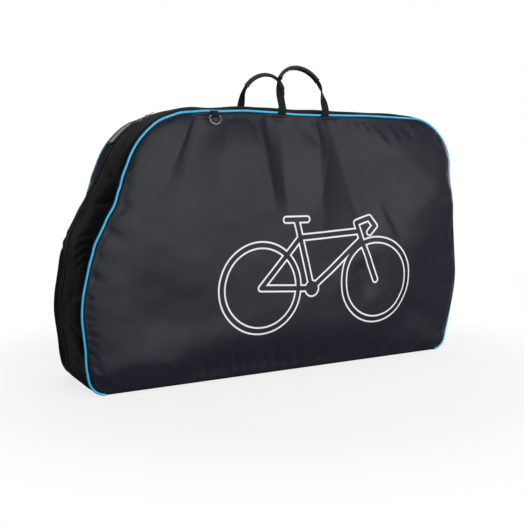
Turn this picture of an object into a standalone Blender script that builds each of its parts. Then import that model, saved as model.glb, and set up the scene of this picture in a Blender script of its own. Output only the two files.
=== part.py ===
"""Soft bike travel bag: two padded panels joined by a zipped gusset, with piping, handles and rings.

Metres, +Z up. The bag stands on z = 0, its front panel faces -Y and its length runs along X.
"""

import math

import bmesh
import bpy
from mathutils import Vector

# Fit
CLEARANCE = 0.0003  # gap kept between pieces that touch
CUT_OVERRUN = 0.002  # how far a cutter passes a surface
SHARP_ANGLE = math.radians(35.0)  # edges bent more than this keep a sharp line
TUBE_ROUNDNESS = 1  # bevel steps of round cord and wire

# Bag body
BAG_LENGTH = 1.300  # widest place, along X
BAG_HEIGHT = 0.770  # floor to the top seam
SEAM_SPACING = 0.250  # front seam line to back seam line, along Y
WALL = 0.003  # laminated cover fabric
BASE_CORNER_RADIUS = 0.050
SIDE_BEND_RADIUS = 0.300  # where the sides are widest
FLANK_BEND_RADIUS = 0.150  # where the left flank starts to lean in
LEFT_SHOULDER_RADIUS = 0.250
RIGHT_SHOULDER_RADIUS = 0.165

# Corners of the side view, clockwise from the base's left end: half lengths from the middle, heights
CORNER_SHARES = (
    (-0.975, 0.000),
    (-1.003, 0.305),
    (-0.942, 0.526),
    (-0.690, 1.000),
    (0.918, 1.000),
    (0.998, 0.320),
    (0.928, 0.000),
)
CORNER_RADII = (
    BASE_CORNER_RADIUS,
    SIDE_BEND_RADIUS,
    FLANK_BEND_RADIUS,
    LEFT_SHOULDER_RADIUS,
    RIGHT_SHOULDER_RADIUS,
    SIDE_BEND_RADIUS,
    BASE_CORNER_RADIUS,
)
SHOULDER_CORNER = 3  # place of the left shoulder in the list of corners
ARC_STEP = math.radians(6.5)
RUN_STEP = 0.120  # longest stretch of a straight run

# Panels
PANEL_CROWN = 0.028  # how far a panel swells out in its middle
CROWN_RUN = 0.220  # from the panel's edge to its full swell
PANEL_RING_SHARES = (0.30, 0.60, 0.78, 0.90, 0.97, 1.00)
PAD_RING_SHARES = PANEL_RING_SHARES[:-1]
PAD_THICKNESS = 0.008

# Piping
PIPING_RADIUS = 0.003

# Gusset
GUSSET_INSET = 0.0015  # the gusset's face lies this far inside the piping's
GUSSET_CROWN = 0.010
GUSSET_CROWN_RISE = 0.200  # height at which the gusset's swell is full
GUSSET_FLAT_SHARE = 0.45  # middle share of the half depth where the swell is level
GUSSET_EDGE_SHARES = (0.45, 0.65, 0.84)  # rows of the rounded stretch, of the half depth

# Zip
ZIP_Y = 0.030
ZIP_SLIT = 0.022  # width between the gusset's two halves
TAPE_THICKNESS = 0.0008
TAPE_LAP = 0.005  # how far the tape reaches under the gusset
CHAIN_WIDTH = 0.0030
CHAIN_HEIGHT = 0.0024
CHAIN_GAP = 0.0026  # between the two rows of teeth
STOP_LENGTH = 0.0060
STOP_WIDTH = 0.0100
STOP_HEIGHT = 0.0030

# Zip sliders
SLIDER_LENGTH = 0.0140
SLIDER_HEAD_WIDTH = 0.0136
SLIDER_TAIL_WIDTH = 0.0118
SLIDER_PLATE = 0.0012
SLIDER_CHANNEL = 0.0100
SLIDER_ROOM_ABOVE = 0.0016  # running room over the teeth
SLIDER_ROOM_BELOW = 0.0010  # running room under the tape
SLIDER_FLANGE_ROOM = 0.0010  # from the tape up to the turned-down flanges
SLIDER_SHOULDER_SHARE = 0.2  # where it is widest, from its middle towards the head, of its length
SLIDER_POST_LENGTH = 0.0034
SLIDER_POST_WIDTH = 0.0018
LEFT_SLIDER_ANGLE = math.radians(120.5)
RIGHT_SLIDER_ANGLE = math.radians(115.8)
BAIL_LENGTH = 0.0080
BAIL_HEIGHT = 0.0044
BAIL_RADIUS = 0.0008
BAIL_STEPS = 8
PULLER_LENGTH = 0.0260
PULLER_WIDTH = 0.0085
PULLER_THICKNESS = 0.0016
PULLER_EYE_LENGTH = 0.0062
PULLER_EYE_WIDTH = 0.0048
PULLER_TIP_SHARE = 0.55  # width of the tip, of the puller's width

# Address card holder, on the back half of the gusset at the left shoulder
CARD_LENGTH = 0.080
CARD_WIDTH = 0.036
CARD_THICKNESS = 0.0005
CARD_Y = 0.081
CARD_ANGLE = math.radians(132.4)
CARD_WINDOW_THICKNESS = 0.0005
CARD_FRAME_BORDER = 0.007
CARD_FRAME_HEIGHT = 0.0020
CARD_STEPS = 6

# Base
BASE_BOARD_THICKNESS = 0.003
BASE_BOARD_EDGE = 0.0065  # from the seam line to the board's long edges
BASE_PAD_THICKNESS = 0.008
BASE_PAD_EDGE = 0.010
STRAP_WIDTH = 0.038
STRAP_THICKNESS = 0.002
STRAP_LENGTH = 0.190
STRAP_SPACING = 0.500
STRAP_BEND_STEPS = 4

# Wheel pockets
POCKET_WIDTH = 0.680
POCKET_BOTTOM = 0.040
POCKET_TOP = 0.600
POCKET_BOTTOM_RADIUS = 0.300
POCKET_FACE_Y = 0.085
POCKET_WALL = 0.0016
POCKET_SEAM = 0.0008  # from the padding to the pocket's sewn edge
POCKET_ARC_STEPS = 9

# Handles
HANDLE_X = 0.033
HANDLE_LEG_SPACING = 0.150
HANDLE_HEIGHT = 0.138
HANDLE_STRAIGHT = 0.062
HANDLE_LEAN = math.radians(20.0)
WEBBING_WIDTH = 0.025
WEBBING_THICKNESS = 0.002
WEBBING_END_HEIGHT = 0.0125
HANDLE_HINGE_RISE = 0.0015  # from the sewn ends up to the line the handle turns about
WEBBING_END_LAP = 0.005  # how far the sewn end reaches down over the panel
LEG_SHARES = (0.35, 0.70)  # places along a straight leg that get a section
LEG_TWIST_SHARE = 0.3  # of a quarter turn, reached at the top of a leg
LEG_ROUND_START = math.radians(20.0)  # where the rounding of a leg's lower end begins
LEG_ROUND_STEPS = 3
GRIP_CORE_WIDTH = 0.0120
GRIP_CORE_THICKNESS = 0.0040
GRIP_WIDTH = 0.0170
GRIP_THICKNESS = 0.0110
GRIP_ROOM = 0.0016  # from the folded strap to the inside of the sleeve
GRIP_ROUNDING = 0.6  # power of the sleeve's section: 1 is an ellipse, less is squarer
GRIP_HALF_ANGLE = math.radians(62.0)
FOLD_END_SHARE = 0.75  # where the strap is fully folded, of the stretch up to the grip
HANDLE_ARC_STEPS = 14
GRIP_SIDES = 10

# Rings
RING_FROM_SHOULDER = 0.0231  # from where the top's level run starts to the front ring
RING_WIDTH = 0.038
RING_DEPTH = 0.0265
RING_WIRE_RADIUS = 0.0016
RING_CORNER_RADIUS = 0.005
TAB_WIDTH = 0.023
TAB_PLY = 0.0012
TAB_TOP = 0.0075  # from the top seam down to the tab's upper end
TAB_LENGTH = 0.0165
RING_ARC_STEPS = 12
RING_CORNER_STEPS = 3
TAB_LOOP_STEPS = 10
TAB_LOOP_SWEEP = math.radians(235.0)  # how far the tab wraps round the ring's bar
TAB_NECK_SHARE = 2.4  # from the bar to where the plies meet, of the wrap's radius

# Derived places
HALF_DEPTH = SEAM_SPACING / 2
PIPING_INSET = PIPING_RADIUS + CLEARANCE
PANEL_INNER_Y = HALF_DEPTH + PIPING_RADIUS + CLEARANCE
PANEL_OUTER_Y = PANEL_INNER_Y + WALL
GUSSET_EDGE_Y = HALF_DEPTH - PIPING_RADIUS - CLEARANCE
TAPE_INSET = GUSSET_INSET + WALL + CLEARANCE
CHAIN_INSET = TAPE_INSET - CLEARANCE - CHAIN_HEIGHT
HANDLE_HALF = HANDLE_LEG_SPACING / 2
HANDLE_RISE = HANDLE_HEIGHT - HANDLE_STRAIGHT

FRONT = -1
BACK = 1
SIDE_NAMES = {FRONT: "front", BACK: "back"}


def srgb(red, green, blue):
    """Linear colour of a screen colour given in 0 to 255."""
    return tuple(
        value / 12.92 if value <= 0.04045 else ((value + 0.055) / 1.055) ** 2.4
        for value in (red / 255, green / 255, blue / 255)
    )


def finish(name, colour, roughness, metallic=0.0, alpha=1.0):
    """A Principled material of one colour."""
    material = bpy.data.materials.new(name)
    material.use_nodes = True
    shader = material.node_tree.nodes["Principled BSDF"]
    shader.inputs["Base Color"].default_value = (*srgb(*colour), 1.0)
    shader.inputs["Roughness"].default_value = roughness
    shader.inputs["Metallic"].default_value = metallic
    shader.inputs["Alpha"].default_value = alpha
    material.diffuse_color = (*srgb(*colour), alpha)
    return material


def make_finishes():
    """The bag's materials, by the kind of stuff."""
    return {
        "panel_fabric": finish("panel_fabric", (58, 58, 64), 0.62),
        "gusset_fabric": finish("gusset_fabric", (24, 25, 29), 0.60),
        "base_fabric": finish("base_fabric", (26, 26, 30), 0.45),
        "piping": finish("piping", (74, 180, 226), 0.40),
        "webbing": finish("webbing", (26, 26, 29), 0.75),
        "grip": finish("grip", (34, 34, 38), 0.65),
        "foam": finish("foam", (52, 54, 58), 0.90),
        "board": finish("board", (30, 30, 32), 0.50),
        "lining": finish("lining", (44, 45, 50), 0.70),
        "zip_tape": finish("zip_tape", (28, 28, 31), 0.70),
        "zip_teeth": finish("zip_teeth", (16, 16, 18), 0.40),
        "nickel": finish("nickel", (168, 168, 170), 0.28, metallic=1.0),
        "card": finish("card", (118, 110, 106), 0.70),
        "clear_sheet": finish("clear_sheet", (205, 208, 210), 0.12, alpha=0.35),
        "card_frame": finish("card_frame", (20, 20, 23), 0.50),
    }


def object_from_bmesh(name, mesh_builder, material, parent=None):
    """Turn a bmesh into a smooth-shaded object with one material."""
    bmesh.ops.recalc_face_normals(mesh_builder, faces=mesh_builder.faces)
    mesh = bpy.data.meshes.new(name)
    mesh_builder.to_mesh(mesh)
    mesh_builder.free()
    mesh.shade_smooth()
    mesh.set_sharp_from_angle(angle=SHARP_ANGLE)
    piece = bpy.data.objects.new(name, mesh)
    piece.data.materials.append(material)
    piece.parent = parent
    bpy.context.collection.objects.link(piece)
    return piece


def add_skin(mesh_builder, rings, loop=False):
    """Join rings of equal count one to the next, and cap the ends or join them when loop is set."""
    made = [[mesh_builder.verts.new(point) for point in ring] for ring in rings]
    count = len(made[0])
    pairs = list(zip(made, made[1:]))
    if loop:
        pairs.append((made[-1], made[0]))
    for ring, following in pairs:
        for index in range(count):
            after = (index + 1) % count
            mesh_builder.faces.new((ring[index], ring[after], following[after], following[index]))
    if not loop:
        mesh_builder.faces.new(made[0])
        mesh_builder.faces.new(made[-1])


def skinned_solid(name, rings, material, loop=False, parent=None):
    """One closed solid skinned over rings of points."""
    mesh_builder = bmesh.new()
    add_skin(mesh_builder, rings, loop)
    return object_from_bmesh(name, mesh_builder, material, parent)


def box_rings(low, high):
    """Two rings that skin a box between opposite corners."""
    corners = ((low[0], low[1]), (high[0], low[1]), (high[0], high[1]), (low[0], high[1]))
    return [[Vector((x, y, z)) for x, y in corners] for z in (low[2], high[2])]


def combine(target, tool, operation):
    """Apply an exact Boolean to the target's mesh and remove the tool."""
    modifier = target.modifiers.new(operation.lower(), "BOOLEAN")
    modifier.operation = operation
    modifier.solver = "EXACT"
    modifier.object = tool
    bpy.context.view_layer.update()
    graph = bpy.context.evaluated_depsgraph_get()
    mesh = bpy.data.meshes.new_from_object(target.evaluated_get(graph))
    target.modifiers.clear()
    target.data = mesh
    bpy.data.objects.remove(tool, do_unlink=True)
    return target


def sloped_prism(name, outline, width, origin, down, out, material):
    """Extrude a closed outline, given down and out from an origin, evenly along X."""
    rings = [
        [origin + Vector((shift, 0, 0)) + down * along + out * away for along, away in outline]
        for shift in (-width / 2, width / 2)
    ]
    return skinned_solid(name, rings, material)


def ribbon_outline(route, thickness):
    """Closed outline of a ribbon seen on edge, from its middle line."""
    sides = ([], [])
    last = len(route) - 1
    for index, point in enumerate(route):
        travel = (route[min(index + 1, last)] - route[max(index - 1, 0)]).normalized()
        across = Vector((-travel.y, travel.x)) * (thickness / 2)
        sides[0].append(point + across)
        sides[1].append(point - across)
    return sides[0] + sides[1][::-1]


class Outline:
    """The bag's side view: rounded corners joined by straight runs, clockwise from the base's left end."""

    def __init__(self):
        self.points = []
        self.arcs = []
        half_length = BAG_LENGTH / 2
        corners = [
            (Vector((x * half_length, z * BAG_HEIGHT)), radius)
            for (x, z), radius in zip(CORNER_SHARES, CORNER_RADII)
        ]
        for index, (corner, radius) in enumerate(corners):
            arrive = (corner - corners[index - 1][0]).normalized()
            leave = (corners[(index + 1) % len(corners)][0] - corner).normalized()
            self.add_arc(corner, radius, arrive, leave)
        self.add_run(self.points[-1], self.points[0])
        self.centre_lengthwise()

    def add_arc(self, corner, radius, arrive, leave):
        """Add the straight run up to a corner and the corner's arc."""
        turn = arrive.angle(leave)
        start = corner - arrive * radius * math.tan(turn / 2)
        centre = start + Vector((arrive.y, -arrive.x)) * radius
        if self.points:
            self.add_run(self.points[-1], start)
        first = len(self.points)
        steps = max(2, math.ceil(turn / ARC_STEP))
        start_angle = math.atan2(start.y - centre.y, start.x - centre.x)
        for step in range(steps + 1):
            angle = start_angle - turn * step / steps
            self.points.append(centre + Vector((math.cos(angle), math.sin(angle))) * radius)
        self.arcs.append({"first": first, "last": len(self.points) - 1, "centre": centre, "radius": radius})

    def add_run(self, start, end):
        """Add the points between two ends of a straight run, without the ends."""
        steps = max(1, math.ceil((end - start).length / RUN_STEP))
        for step in range(1, steps):
            self.points.append(start.lerp(end, step / steps))

    def centre_lengthwise(self):
        """Shift the outline so that its widest places lie evenly about x = 0."""
        reach = [point.x for point in self.points]
        shift = Vector(((min(reach) + max(reach)) / 2, 0))
        self.points = [point - shift for point in self.points]
        for arc in self.arcs:
            arc["centre"] = arc["centre"] - shift

    def normals(self):
        """Outward direction at each point."""
        count = len(self.points)
        result = []
        for index in range(count):
            travel = (self.points[(index + 1) % count] - self.points[index - 1]).normalized()
            result.append(Vector((-travel.y, travel.x)))
        return result

    def inset(self, distance):
        """The closed outline moved inwards."""
        return [point - normal * distance for point, normal in zip(self.points, self.normals())]

    def stretch(self, first, last):
        """Points and outward directions between two places, both kept."""
        normals = self.normals()
        return [(self.points[index], normals[index]) for index in range(first, last + 1)]

    def walls(self):
        """The stretch over the sides and the top, between the two base corners."""
        return self.stretch(self.arcs[0]["last"], self.arcs[-1]["first"])

    def piped(self):
        """The stretch that carries piping, base corners included."""
        return self.stretch(self.arcs[0]["first"], self.arcs[-1]["last"])


def trimmed(stretch, start, end):
    """A stretch shortened by a length at each end."""
    lengths = [0.0]
    for (point, _), (following, _) in zip(stretch, stretch[1:]):
        lengths.append(lengths[-1] + (following - point).length)
    total = lengths[-1]

    def at(length):
        """Point and direction at a length along the stretch."""
        index = max(i for i, value in enumerate(lengths[:-1]) if value <= length)
        share = (length - lengths[index]) / (lengths[index + 1] - lengths[index])
        point = stretch[index][0].lerp(stretch[index + 1][0], share)
        normal = stretch[index][1].lerp(stretch[index + 1][1], share).normalized()
        return point, normal

    middle = [item for item, length in zip(stretch, lengths) if start < length < total - end]
    return [at(start)] + middle + [at(total - end)]


def arc_stretch(arc, angle, half_length, steps):
    """Points and directions of a stretch of an arc, centred on an angle."""
    reach = half_length / arc["radius"]
    result = []
    for step in range(steps + 1):
        turned = angle + reach * (1 - 2 * step / steps)
        normal = Vector((math.cos(turned), math.sin(turned)))
        result.append((arc["centre"] + normal * arc["radius"], normal))
    return result


def edge_distance(point, outline):
    """Shortest distance from a point to a closed outline."""
    best = None
    for index, start in enumerate(outline):
        edge = outline[(index + 1) % len(outline)] - start
        share = max(0.0, min(1.0, (point - start).dot(edge) / edge.length_squared))
        distance = (point - start - edge * share).length
        best = distance if best is None else min(best, distance)
    return best


def panel_crown(point, panel_edge):
    """How far a panel swells out at a place in its side view."""
    share = min(1.0, edge_distance(point, panel_edge) / CROWN_RUN)
    return PANEL_CROWN * math.sin(share * math.pi / 2)


def gusset_crown(y, z):
    """How far the gusset swells out at a depth and a height."""
    flat = GUSSET_FLAT_SHARE * HALF_DEPTH
    across = max(0.0, abs(y) - flat) / (HALF_DEPTH - flat)
    up = min(1.0, z / GUSSET_CROWN_RISE)
    return GUSSET_CROWN * (1 - across**2) * up * up * (3 - 2 * up)


def gusset_rows(low, high):
    """Depths at which a gusset strip gets a row of points."""
    bends = [side * share * HALF_DEPTH for side in (FRONT, BACK) for share in GUSSET_EDGE_SHARES]
    return [low] + [y for y in sorted(bends) if low < y < high] + [high]


def wall_strip(name, stretch, rows, inset, thickness, material):
    """A strip of even thickness that follows the gusset's face, at a depth below it."""
    rings = []
    for point, normal in stretch:
        outer = []
        inner = []
        for y in rows:
            face = point + normal * (gusset_crown(y, point.y) - inset)
            under = face - normal * thickness
            outer.append(Vector((face.x, y, face.y)))
            inner.append(Vector((under.x, y, under.y)))
        rings.append(outer + inner[::-1])
    return skinned_solid(name, rings, material)


def crowned_shell(name, side, panel_edge, shares, outer_y, thickness, material):
    """A shell that follows a panel's swell, from nested rings round its middle."""
    middle = sum(panel_edge, Vector((0, 0))) / len(panel_edge)
    outer = []
    inner = []
    for share in shares:
        ring = [middle.lerp(point, share) for point in panel_edge]
        crowns = [panel_crown(point, panel_edge) for point in ring]
        outer.append([Vector((p.x, side * (outer_y + c), p.y)) for p, c in zip(ring, crowns)])
        inner.append([Vector((p.x, side * (outer_y + c - thickness), p.y)) for p, c in zip(ring, crowns)])
    mesh_builder = bmesh.new()
    add_skin(mesh_builder, outer + inner[::-1])
    split_outwards(mesh_builder)
    return object_from_bmesh(name, mesh_builder, material)


def split_outwards(mesh_builder):
    """Split four-sided faces along the diagonal that swells most, so that parallel shells stay parallel."""
    for face in list(mesh_builder.faces):
        if len(face.verts) != 4:
            continue
        a, b, c, d = face.verts
        if abs(a.co.y + c.co.y) > abs(b.co.y + d.co.y):
            bmesh.utils.face_split(face, a, c)
        else:
            bmesh.utils.face_split(face, b, d)


def build_panel(side, outline, finishes):
    """Cover panel, foam pad and piping of one face; returns the panel and the pad."""
    name = SIDE_NAMES[side]
    panel_edge = outline.inset(PIPING_INSET)
    panel = crowned_shell(
        name + "_panel", side, panel_edge, PANEL_RING_SHARES, PANEL_OUTER_Y, WALL, finishes["panel_fabric"],
    )
    pad_y = PANEL_INNER_Y - CLEARANCE
    pad = crowned_shell(
        name + "_foam_pad", side, panel_edge, PAD_RING_SHARES, pad_y, PAD_THICKNESS, finishes["foam"],
    )
    build_piping(name + "_piping", side, outline, finishes["piping"])
    return panel, pad


def surface_depth(piece, point, side, outside):
    """Distance from the middle plane to a piece's outer or inner face, at a place in the side view."""
    far = BAG_LENGTH if outside else 0
    travel = -side if outside else side
    _, place, _, _ = piece.ray_cast(Vector((point.x, side * far, point.y)), Vector((0, travel, 0)))
    return abs(place.y)


def build_piping(name, side, outline, material):
    """The corded edge, open along the base."""
    curve = bpy.data.curves.new(name, "CURVE")
    curve.dimensions = "3D"
    curve.bevel_depth = PIPING_RADIUS
    curve.bevel_resolution = TUBE_ROUNDNESS
    curve.use_fill_caps = True
    spline = curve.splines.new("POLY")
    stretch = trimmed(outline.piped(), CLEARANCE, CLEARANCE)
    spline.points.add(len(stretch) - 1)
    for place, (point, normal) in zip(spline.points, stretch):
        core = point - normal * PIPING_INSET
        place.co = (core.x, side * HALF_DEPTH, core.y, 1.0)
    piping = bpy.data.objects.new(name, curve)
    piping.data.materials.append(material)
    bpy.context.collection.objects.link(piping)


def build_gusset(outline, finishes):
    """The gusset's two halves and the base corners that close it."""
    walls = trimmed(outline.walls(), CLEARANCE, CLEARANCE)
    half_slit = ZIP_SLIT / 2
    front_rows = gusset_rows(-GUSSET_EDGE_Y, ZIP_Y - half_slit)
    back_rows = gusset_rows(ZIP_Y + half_slit, GUSSET_EDGE_Y)
    wall_strip("front_gusset", walls, front_rows, GUSSET_INSET, WALL, finishes["gusset_fabric"])
    wall_strip("back_gusset", walls, back_rows, GUSSET_INSET, WALL, finishes["gusset_fabric"])
    corner_rows = gusset_rows(-GUSSET_EDGE_Y, GUSSET_EDGE_Y)
    for name, arc in (("left_base_corner", outline.arcs[0]), ("right_base_corner", outline.arcs[-1])):
        corner = outline.stretch(arc["first"], arc["last"])
        wall_strip(name, corner, corner_rows, 0, WALL, finishes["base_fabric"])


def build_zip(outline, finishes):
    """Tapes, rows of teeth and the stops at both ends."""
    room = STOP_LENGTH + 2 * CLEARANCE
    chain = trimmed(outline.walls(), room, room)
    half_gap = CHAIN_GAP / 2
    half_tape = ZIP_SLIT / 2 + TAPE_LAP
    for side in (FRONT, BACK):
        name = SIDE_NAMES[side]
        tape_rows = sorted((ZIP_Y + side * half_gap, ZIP_Y + side * half_tape))
        chain_rows = sorted((ZIP_Y + side * half_gap, ZIP_Y + side * (half_gap + CHAIN_WIDTH)))
        wall_strip(name + "_zip_tape", chain, tape_rows, TAPE_INSET, TAPE_THICKNESS, finishes["zip_tape"])
        wall_strip(name + "_zip_teeth", chain, chain_rows, CHAIN_INSET, CHAIN_HEIGHT, finishes["zip_teeth"])
    walls = outline.walls()
    ends = (("left_zip_stop", walls), ("right_zip_stop", walls[::-1]))
    for name, stretch in ends:
        length = sum((b[0] - a[0]).length for a, b in zip(stretch, stretch[1:]))
        stop = trimmed(stretch, CLEARANCE, length - CLEARANCE - STOP_LENGTH)
        rows = (ZIP_Y - STOP_WIDTH / 2, ZIP_Y + STOP_WIDTH / 2)
        wall_strip(name, stop, rows, CHAIN_INSET, STOP_HEIGHT, finishes["zip_teeth"])


def slider_shell_rings(facing, top, bottom):
    """Sections of a slider's upper plate with its two turned-down flanges, head to tail."""
    half_channel = SLIDER_CHANNEL / 2
    half_length = SLIDER_LENGTH / 2
    shoulder = SLIDER_SHOULDER_SHARE * SLIDER_LENGTH
    stations = (
        (half_length, SLIDER_TAIL_WIDTH), (shoulder, SLIDER_HEAD_WIDTH), (-half_length, SLIDER_TAIL_WIDTH),
    )
    rings = []
    for place, width in stations:
        x = facing * place
        half = width / 2
        section = (
            (-half, bottom), (-half, top), (half, top), (half, bottom),
            (half_channel, bottom), (half_channel, top - SLIDER_PLATE),
            (-half_channel, top - SLIDER_PLATE), (-half_channel, bottom),
        )
        rings.append([Vector((x, y, z)) for y, z in section])
    return rings


def bail_rings(top):
    """Sections of the arched bail over a slider."""
    across = Vector((0, 1, 0))
    corners = ((1, 1), (1, -1), (-1, -1), (-1, 1))
    rings = []
    for step in range(BAIL_STEPS + 1):
        angle = math.pi * step / BAIL_STEPS
        x = -math.cos(angle) * BAIL_LENGTH / 2
        z = top - BAIL_RADIUS + math.sin(angle) * BAIL_HEIGHT
        out = Vector((-math.cos(angle), 0, math.sin(angle)))
        rings.append([Vector((x, 0, z)) + (out * a + across * b) * BAIL_RADIUS for a, b in corners])
    return rings


def build_slider(name, angle, facing, outline, finishes):
    """A zip slider on the shoulder's arc, and its hinged puller.

    facing is 1 when the slider's head points along the zip to the right, -1 to the left.
    """
    arc = outline.arcs[SHOULDER_CORNER]
    pivot = bpy.data.objects.new(name + "_pivot", None)
    pivot.location = (arc["centre"].x, ZIP_Y, arc["centre"].y)
    pivot.rotation_euler = (0, math.pi / 2 - angle, 0)
    bpy.context.collection.objects.link(pivot)

    surface = arc["radius"] + GUSSET_CROWN
    teeth_top = surface - CHAIN_INSET
    tape_top = surface - TAPE_INSET
    top = teeth_top + SLIDER_ROOM_ABOVE + SLIDER_PLATE
    low = tape_top - TAPE_THICKNESS - SLIDER_ROOM_BELOW
    flange_low = tape_top + SLIDER_FLANGE_ROOM
    body = skinned_solid(
        name + "_slider", slider_shell_rings(facing, top, flange_low), finishes["nickel"], parent=pivot,
    )
    half = SLIDER_LENGTH / 2
    post_end = facing * (half - SLIDER_POST_LENGTH)
    post_span = sorted((facing * half, post_end))
    post_low = low - SLIDER_PLATE / 2
    post_high = top - SLIDER_PLATE / 2
    half_post = SLIDER_POST_WIDTH / 2
    half_tail = SLIDER_TAIL_WIDTH / 2
    tools = (
        box_rings((post_span[0], -half_post, post_low), (post_span[1], half_post, post_high)),
        box_rings((-half, -half_tail, low - SLIDER_PLATE), (half, half_tail, low)),
        bail_rings(top),
    )
    for rings in tools:
        tool = skinned_solid(name + "_tool", rings, finishes["nickel"], parent=pivot)
        combine(body, tool, "UNION")
    build_puller(name + "_puller", facing, top, pivot, finishes["nickel"])


def build_puller(name, facing, plate_top, pivot, material):
    """The puller: a plate with an eye that takes the bail, lying away from the slider's head."""
    half_bar = PULLER_THICKNESS / 2
    half_width = PULLER_WIDTH / 2
    tip = -facing * (PULLER_LENGTH - half_bar)
    sides = ((-half_width, -half_bar), (half_width, -half_bar), (half_width, half_bar), (-half_width, half_bar))
    stations = ((facing * half_bar, 1.0), (tip + facing * half_width, 1.0), (tip, PULLER_TIP_SHARE))
    rings = [[Vector((x, y * share, z)) for y, z in sides] for x, share in stations]
    puller = skinned_solid(name, rings, material, parent=pivot)
    puller.location = (0, 0, plate_top + half_bar + CLEARANCE)
    eye = sorted((-facing * half_bar, -facing * (half_bar + PULLER_EYE_LENGTH)))
    half_eye = PULLER_EYE_WIDTH / 2
    rings = box_rings((eye[0], -half_eye, -half_bar - CUT_OVERRUN), (eye[1], half_eye, half_bar + CUT_OVERRUN))
    tool = skinned_solid(name + "_tool", rings, material, parent=pivot)
    tool.location = puller.location
    combine(puller, tool, "DIFFERENCE")


def build_card_holder(outline, finishes):
    """Address card under a clear sheet, in a frame sewn on the shoulder."""
    arc = outline.arcs[SHOULDER_CORNER]
    half_length = CARD_LENGTH / 2
    half_width = CARD_WIDTH / 2
    rows = gusset_rows(CARD_Y - half_width, CARD_Y + half_width)
    card = arc_stretch(arc, CARD_ANGLE, half_length, CARD_STEPS)
    card_inset = GUSSET_INSET - CLEARANCE - CARD_THICKNESS
    window_inset = card_inset - CLEARANCE - CARD_WINDOW_THICKNESS
    wall_strip("address_card", card, rows, card_inset, CARD_THICKNESS, finishes["card"])
    wall_strip("card_window", card, rows, window_inset, CARD_WINDOW_THICKNESS, finishes["clear_sheet"])

    outer_half_width = half_width + CARD_FRAME_BORDER
    outer_rows = gusset_rows(CARD_Y - outer_half_width, CARD_Y + outer_half_width)
    outer = arc_stretch(arc, CARD_ANGLE, half_length + CARD_FRAME_BORDER, CARD_STEPS)
    frame_inset = GUSSET_INSET - CLEARANCE - CARD_FRAME_HEIGHT
    frame = wall_strip("card_frame", outer, outer_rows, frame_inset, CARD_FRAME_HEIGHT, finishes["card_frame"])
    hole_rows = gusset_rows(CARD_Y - half_width - CLEARANCE, CARD_Y + half_width + CLEARANCE)
    hole = arc_stretch(arc, CARD_ANGLE, half_length + CLEARANCE, CARD_STEPS)
    hole_inset = frame_inset - CUT_OVERRUN
    hole_height = CARD_FRAME_HEIGHT + 2 * CUT_OVERRUN
    tool = wall_strip("card_tool", hole, hole_rows, hole_inset, hole_height, finishes["card_frame"])
    combine(frame, tool, "DIFFERENCE")


def build_base(outline, finishes):
    """Base fabric, stiffening board, foam and the two straps that hold a frame."""
    first = outline.points[outline.arcs[0]["first"]]
    last = outline.points[outline.arcs[-1]["last"]]
    left = first.x + CLEARANCE
    right = last.x - CLEARANCE
    layers = (
        ("base_panel", PANEL_INNER_Y - CLEARANCE, 0, WALL, "base_fabric"),
        ("base_board", HALF_DEPTH - BASE_BOARD_EDGE, WALL + CLEARANCE, BASE_BOARD_THICKNESS, "board"),
        (
            "base_foam_pad", HALF_DEPTH - BASE_PAD_EDGE,
            WALL + BASE_BOARD_THICKNESS + 2 * CLEARANCE, BASE_PAD_THICKNESS, "foam",
        ),
    )
    for name, half_depth, low, thickness, kind in layers:
        rings = box_rings((left, -half_depth, low), (right, half_depth, low + thickness))
        skinned_solid(name, rings, finishes[kind])
    pad_top = WALL + BASE_BOARD_THICKNESS + BASE_PAD_THICKNESS + 2 * CLEARANCE
    for name, x in (("left_frame_strap", -STRAP_SPACING / 2), ("right_frame_strap", STRAP_SPACING / 2)):
        build_frame_strap(name, x, pad_top + CLEARANCE, finishes["webbing"])


def build_frame_strap(name, x, low, material):
    """A hook-and-loop strap folded flat over itself, lying on the base."""
    half = STRAP_LENGTH / 2
    ply = STRAP_THICKNESS
    lower = low + ply / 2
    upper = lower + ply + CLEARANCE
    bend = (upper - lower) / 2
    route = [Vector((-half, lower)), Vector((half, lower))]
    for step in range(1, STRAP_BEND_STEPS):
        angle = -math.pi / 2 + math.pi * step / STRAP_BEND_STEPS
        route.append(Vector((half + math.cos(angle) * bend, lower + bend + math.sin(angle) * bend)))
    route.append(Vector((half, upper)))
    route.append(Vector((0, upper)))
    outline = [(point.x, point.y) for point in ribbon_outline(route, ply)]
    sloped_prism(name, outline, STRAP_WIDTH, Vector((x, 0, 0)), Vector((0, 1, 0)), Vector((0, 0, 1)), material)


def pocket_route():
    """The sewn edge of a wheel pocket: down one side, round the bottom and up the other."""
    half = POCKET_WIDTH / 2
    centre_x = half - POCKET_BOTTOM_RADIUS
    centre_z = POCKET_BOTTOM + POCKET_BOTTOM_RADIUS
    right = []
    for step in range(POCKET_ARC_STEPS + 1):
        angle = -math.pi / 2 * step / POCKET_ARC_STEPS
        right.append(Vector((centre_x + math.cos(angle) * POCKET_BOTTOM_RADIUS,
                             centre_z + math.sin(angle) * POCKET_BOTTOM_RADIUS)))
    side = [Vector((half, POCKET_TOP)), Vector((half, (POCKET_TOP + centre_z) / 2))] + right
    return side + [Vector((-point.x, point.y)) for point in side[::-1]]


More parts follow.
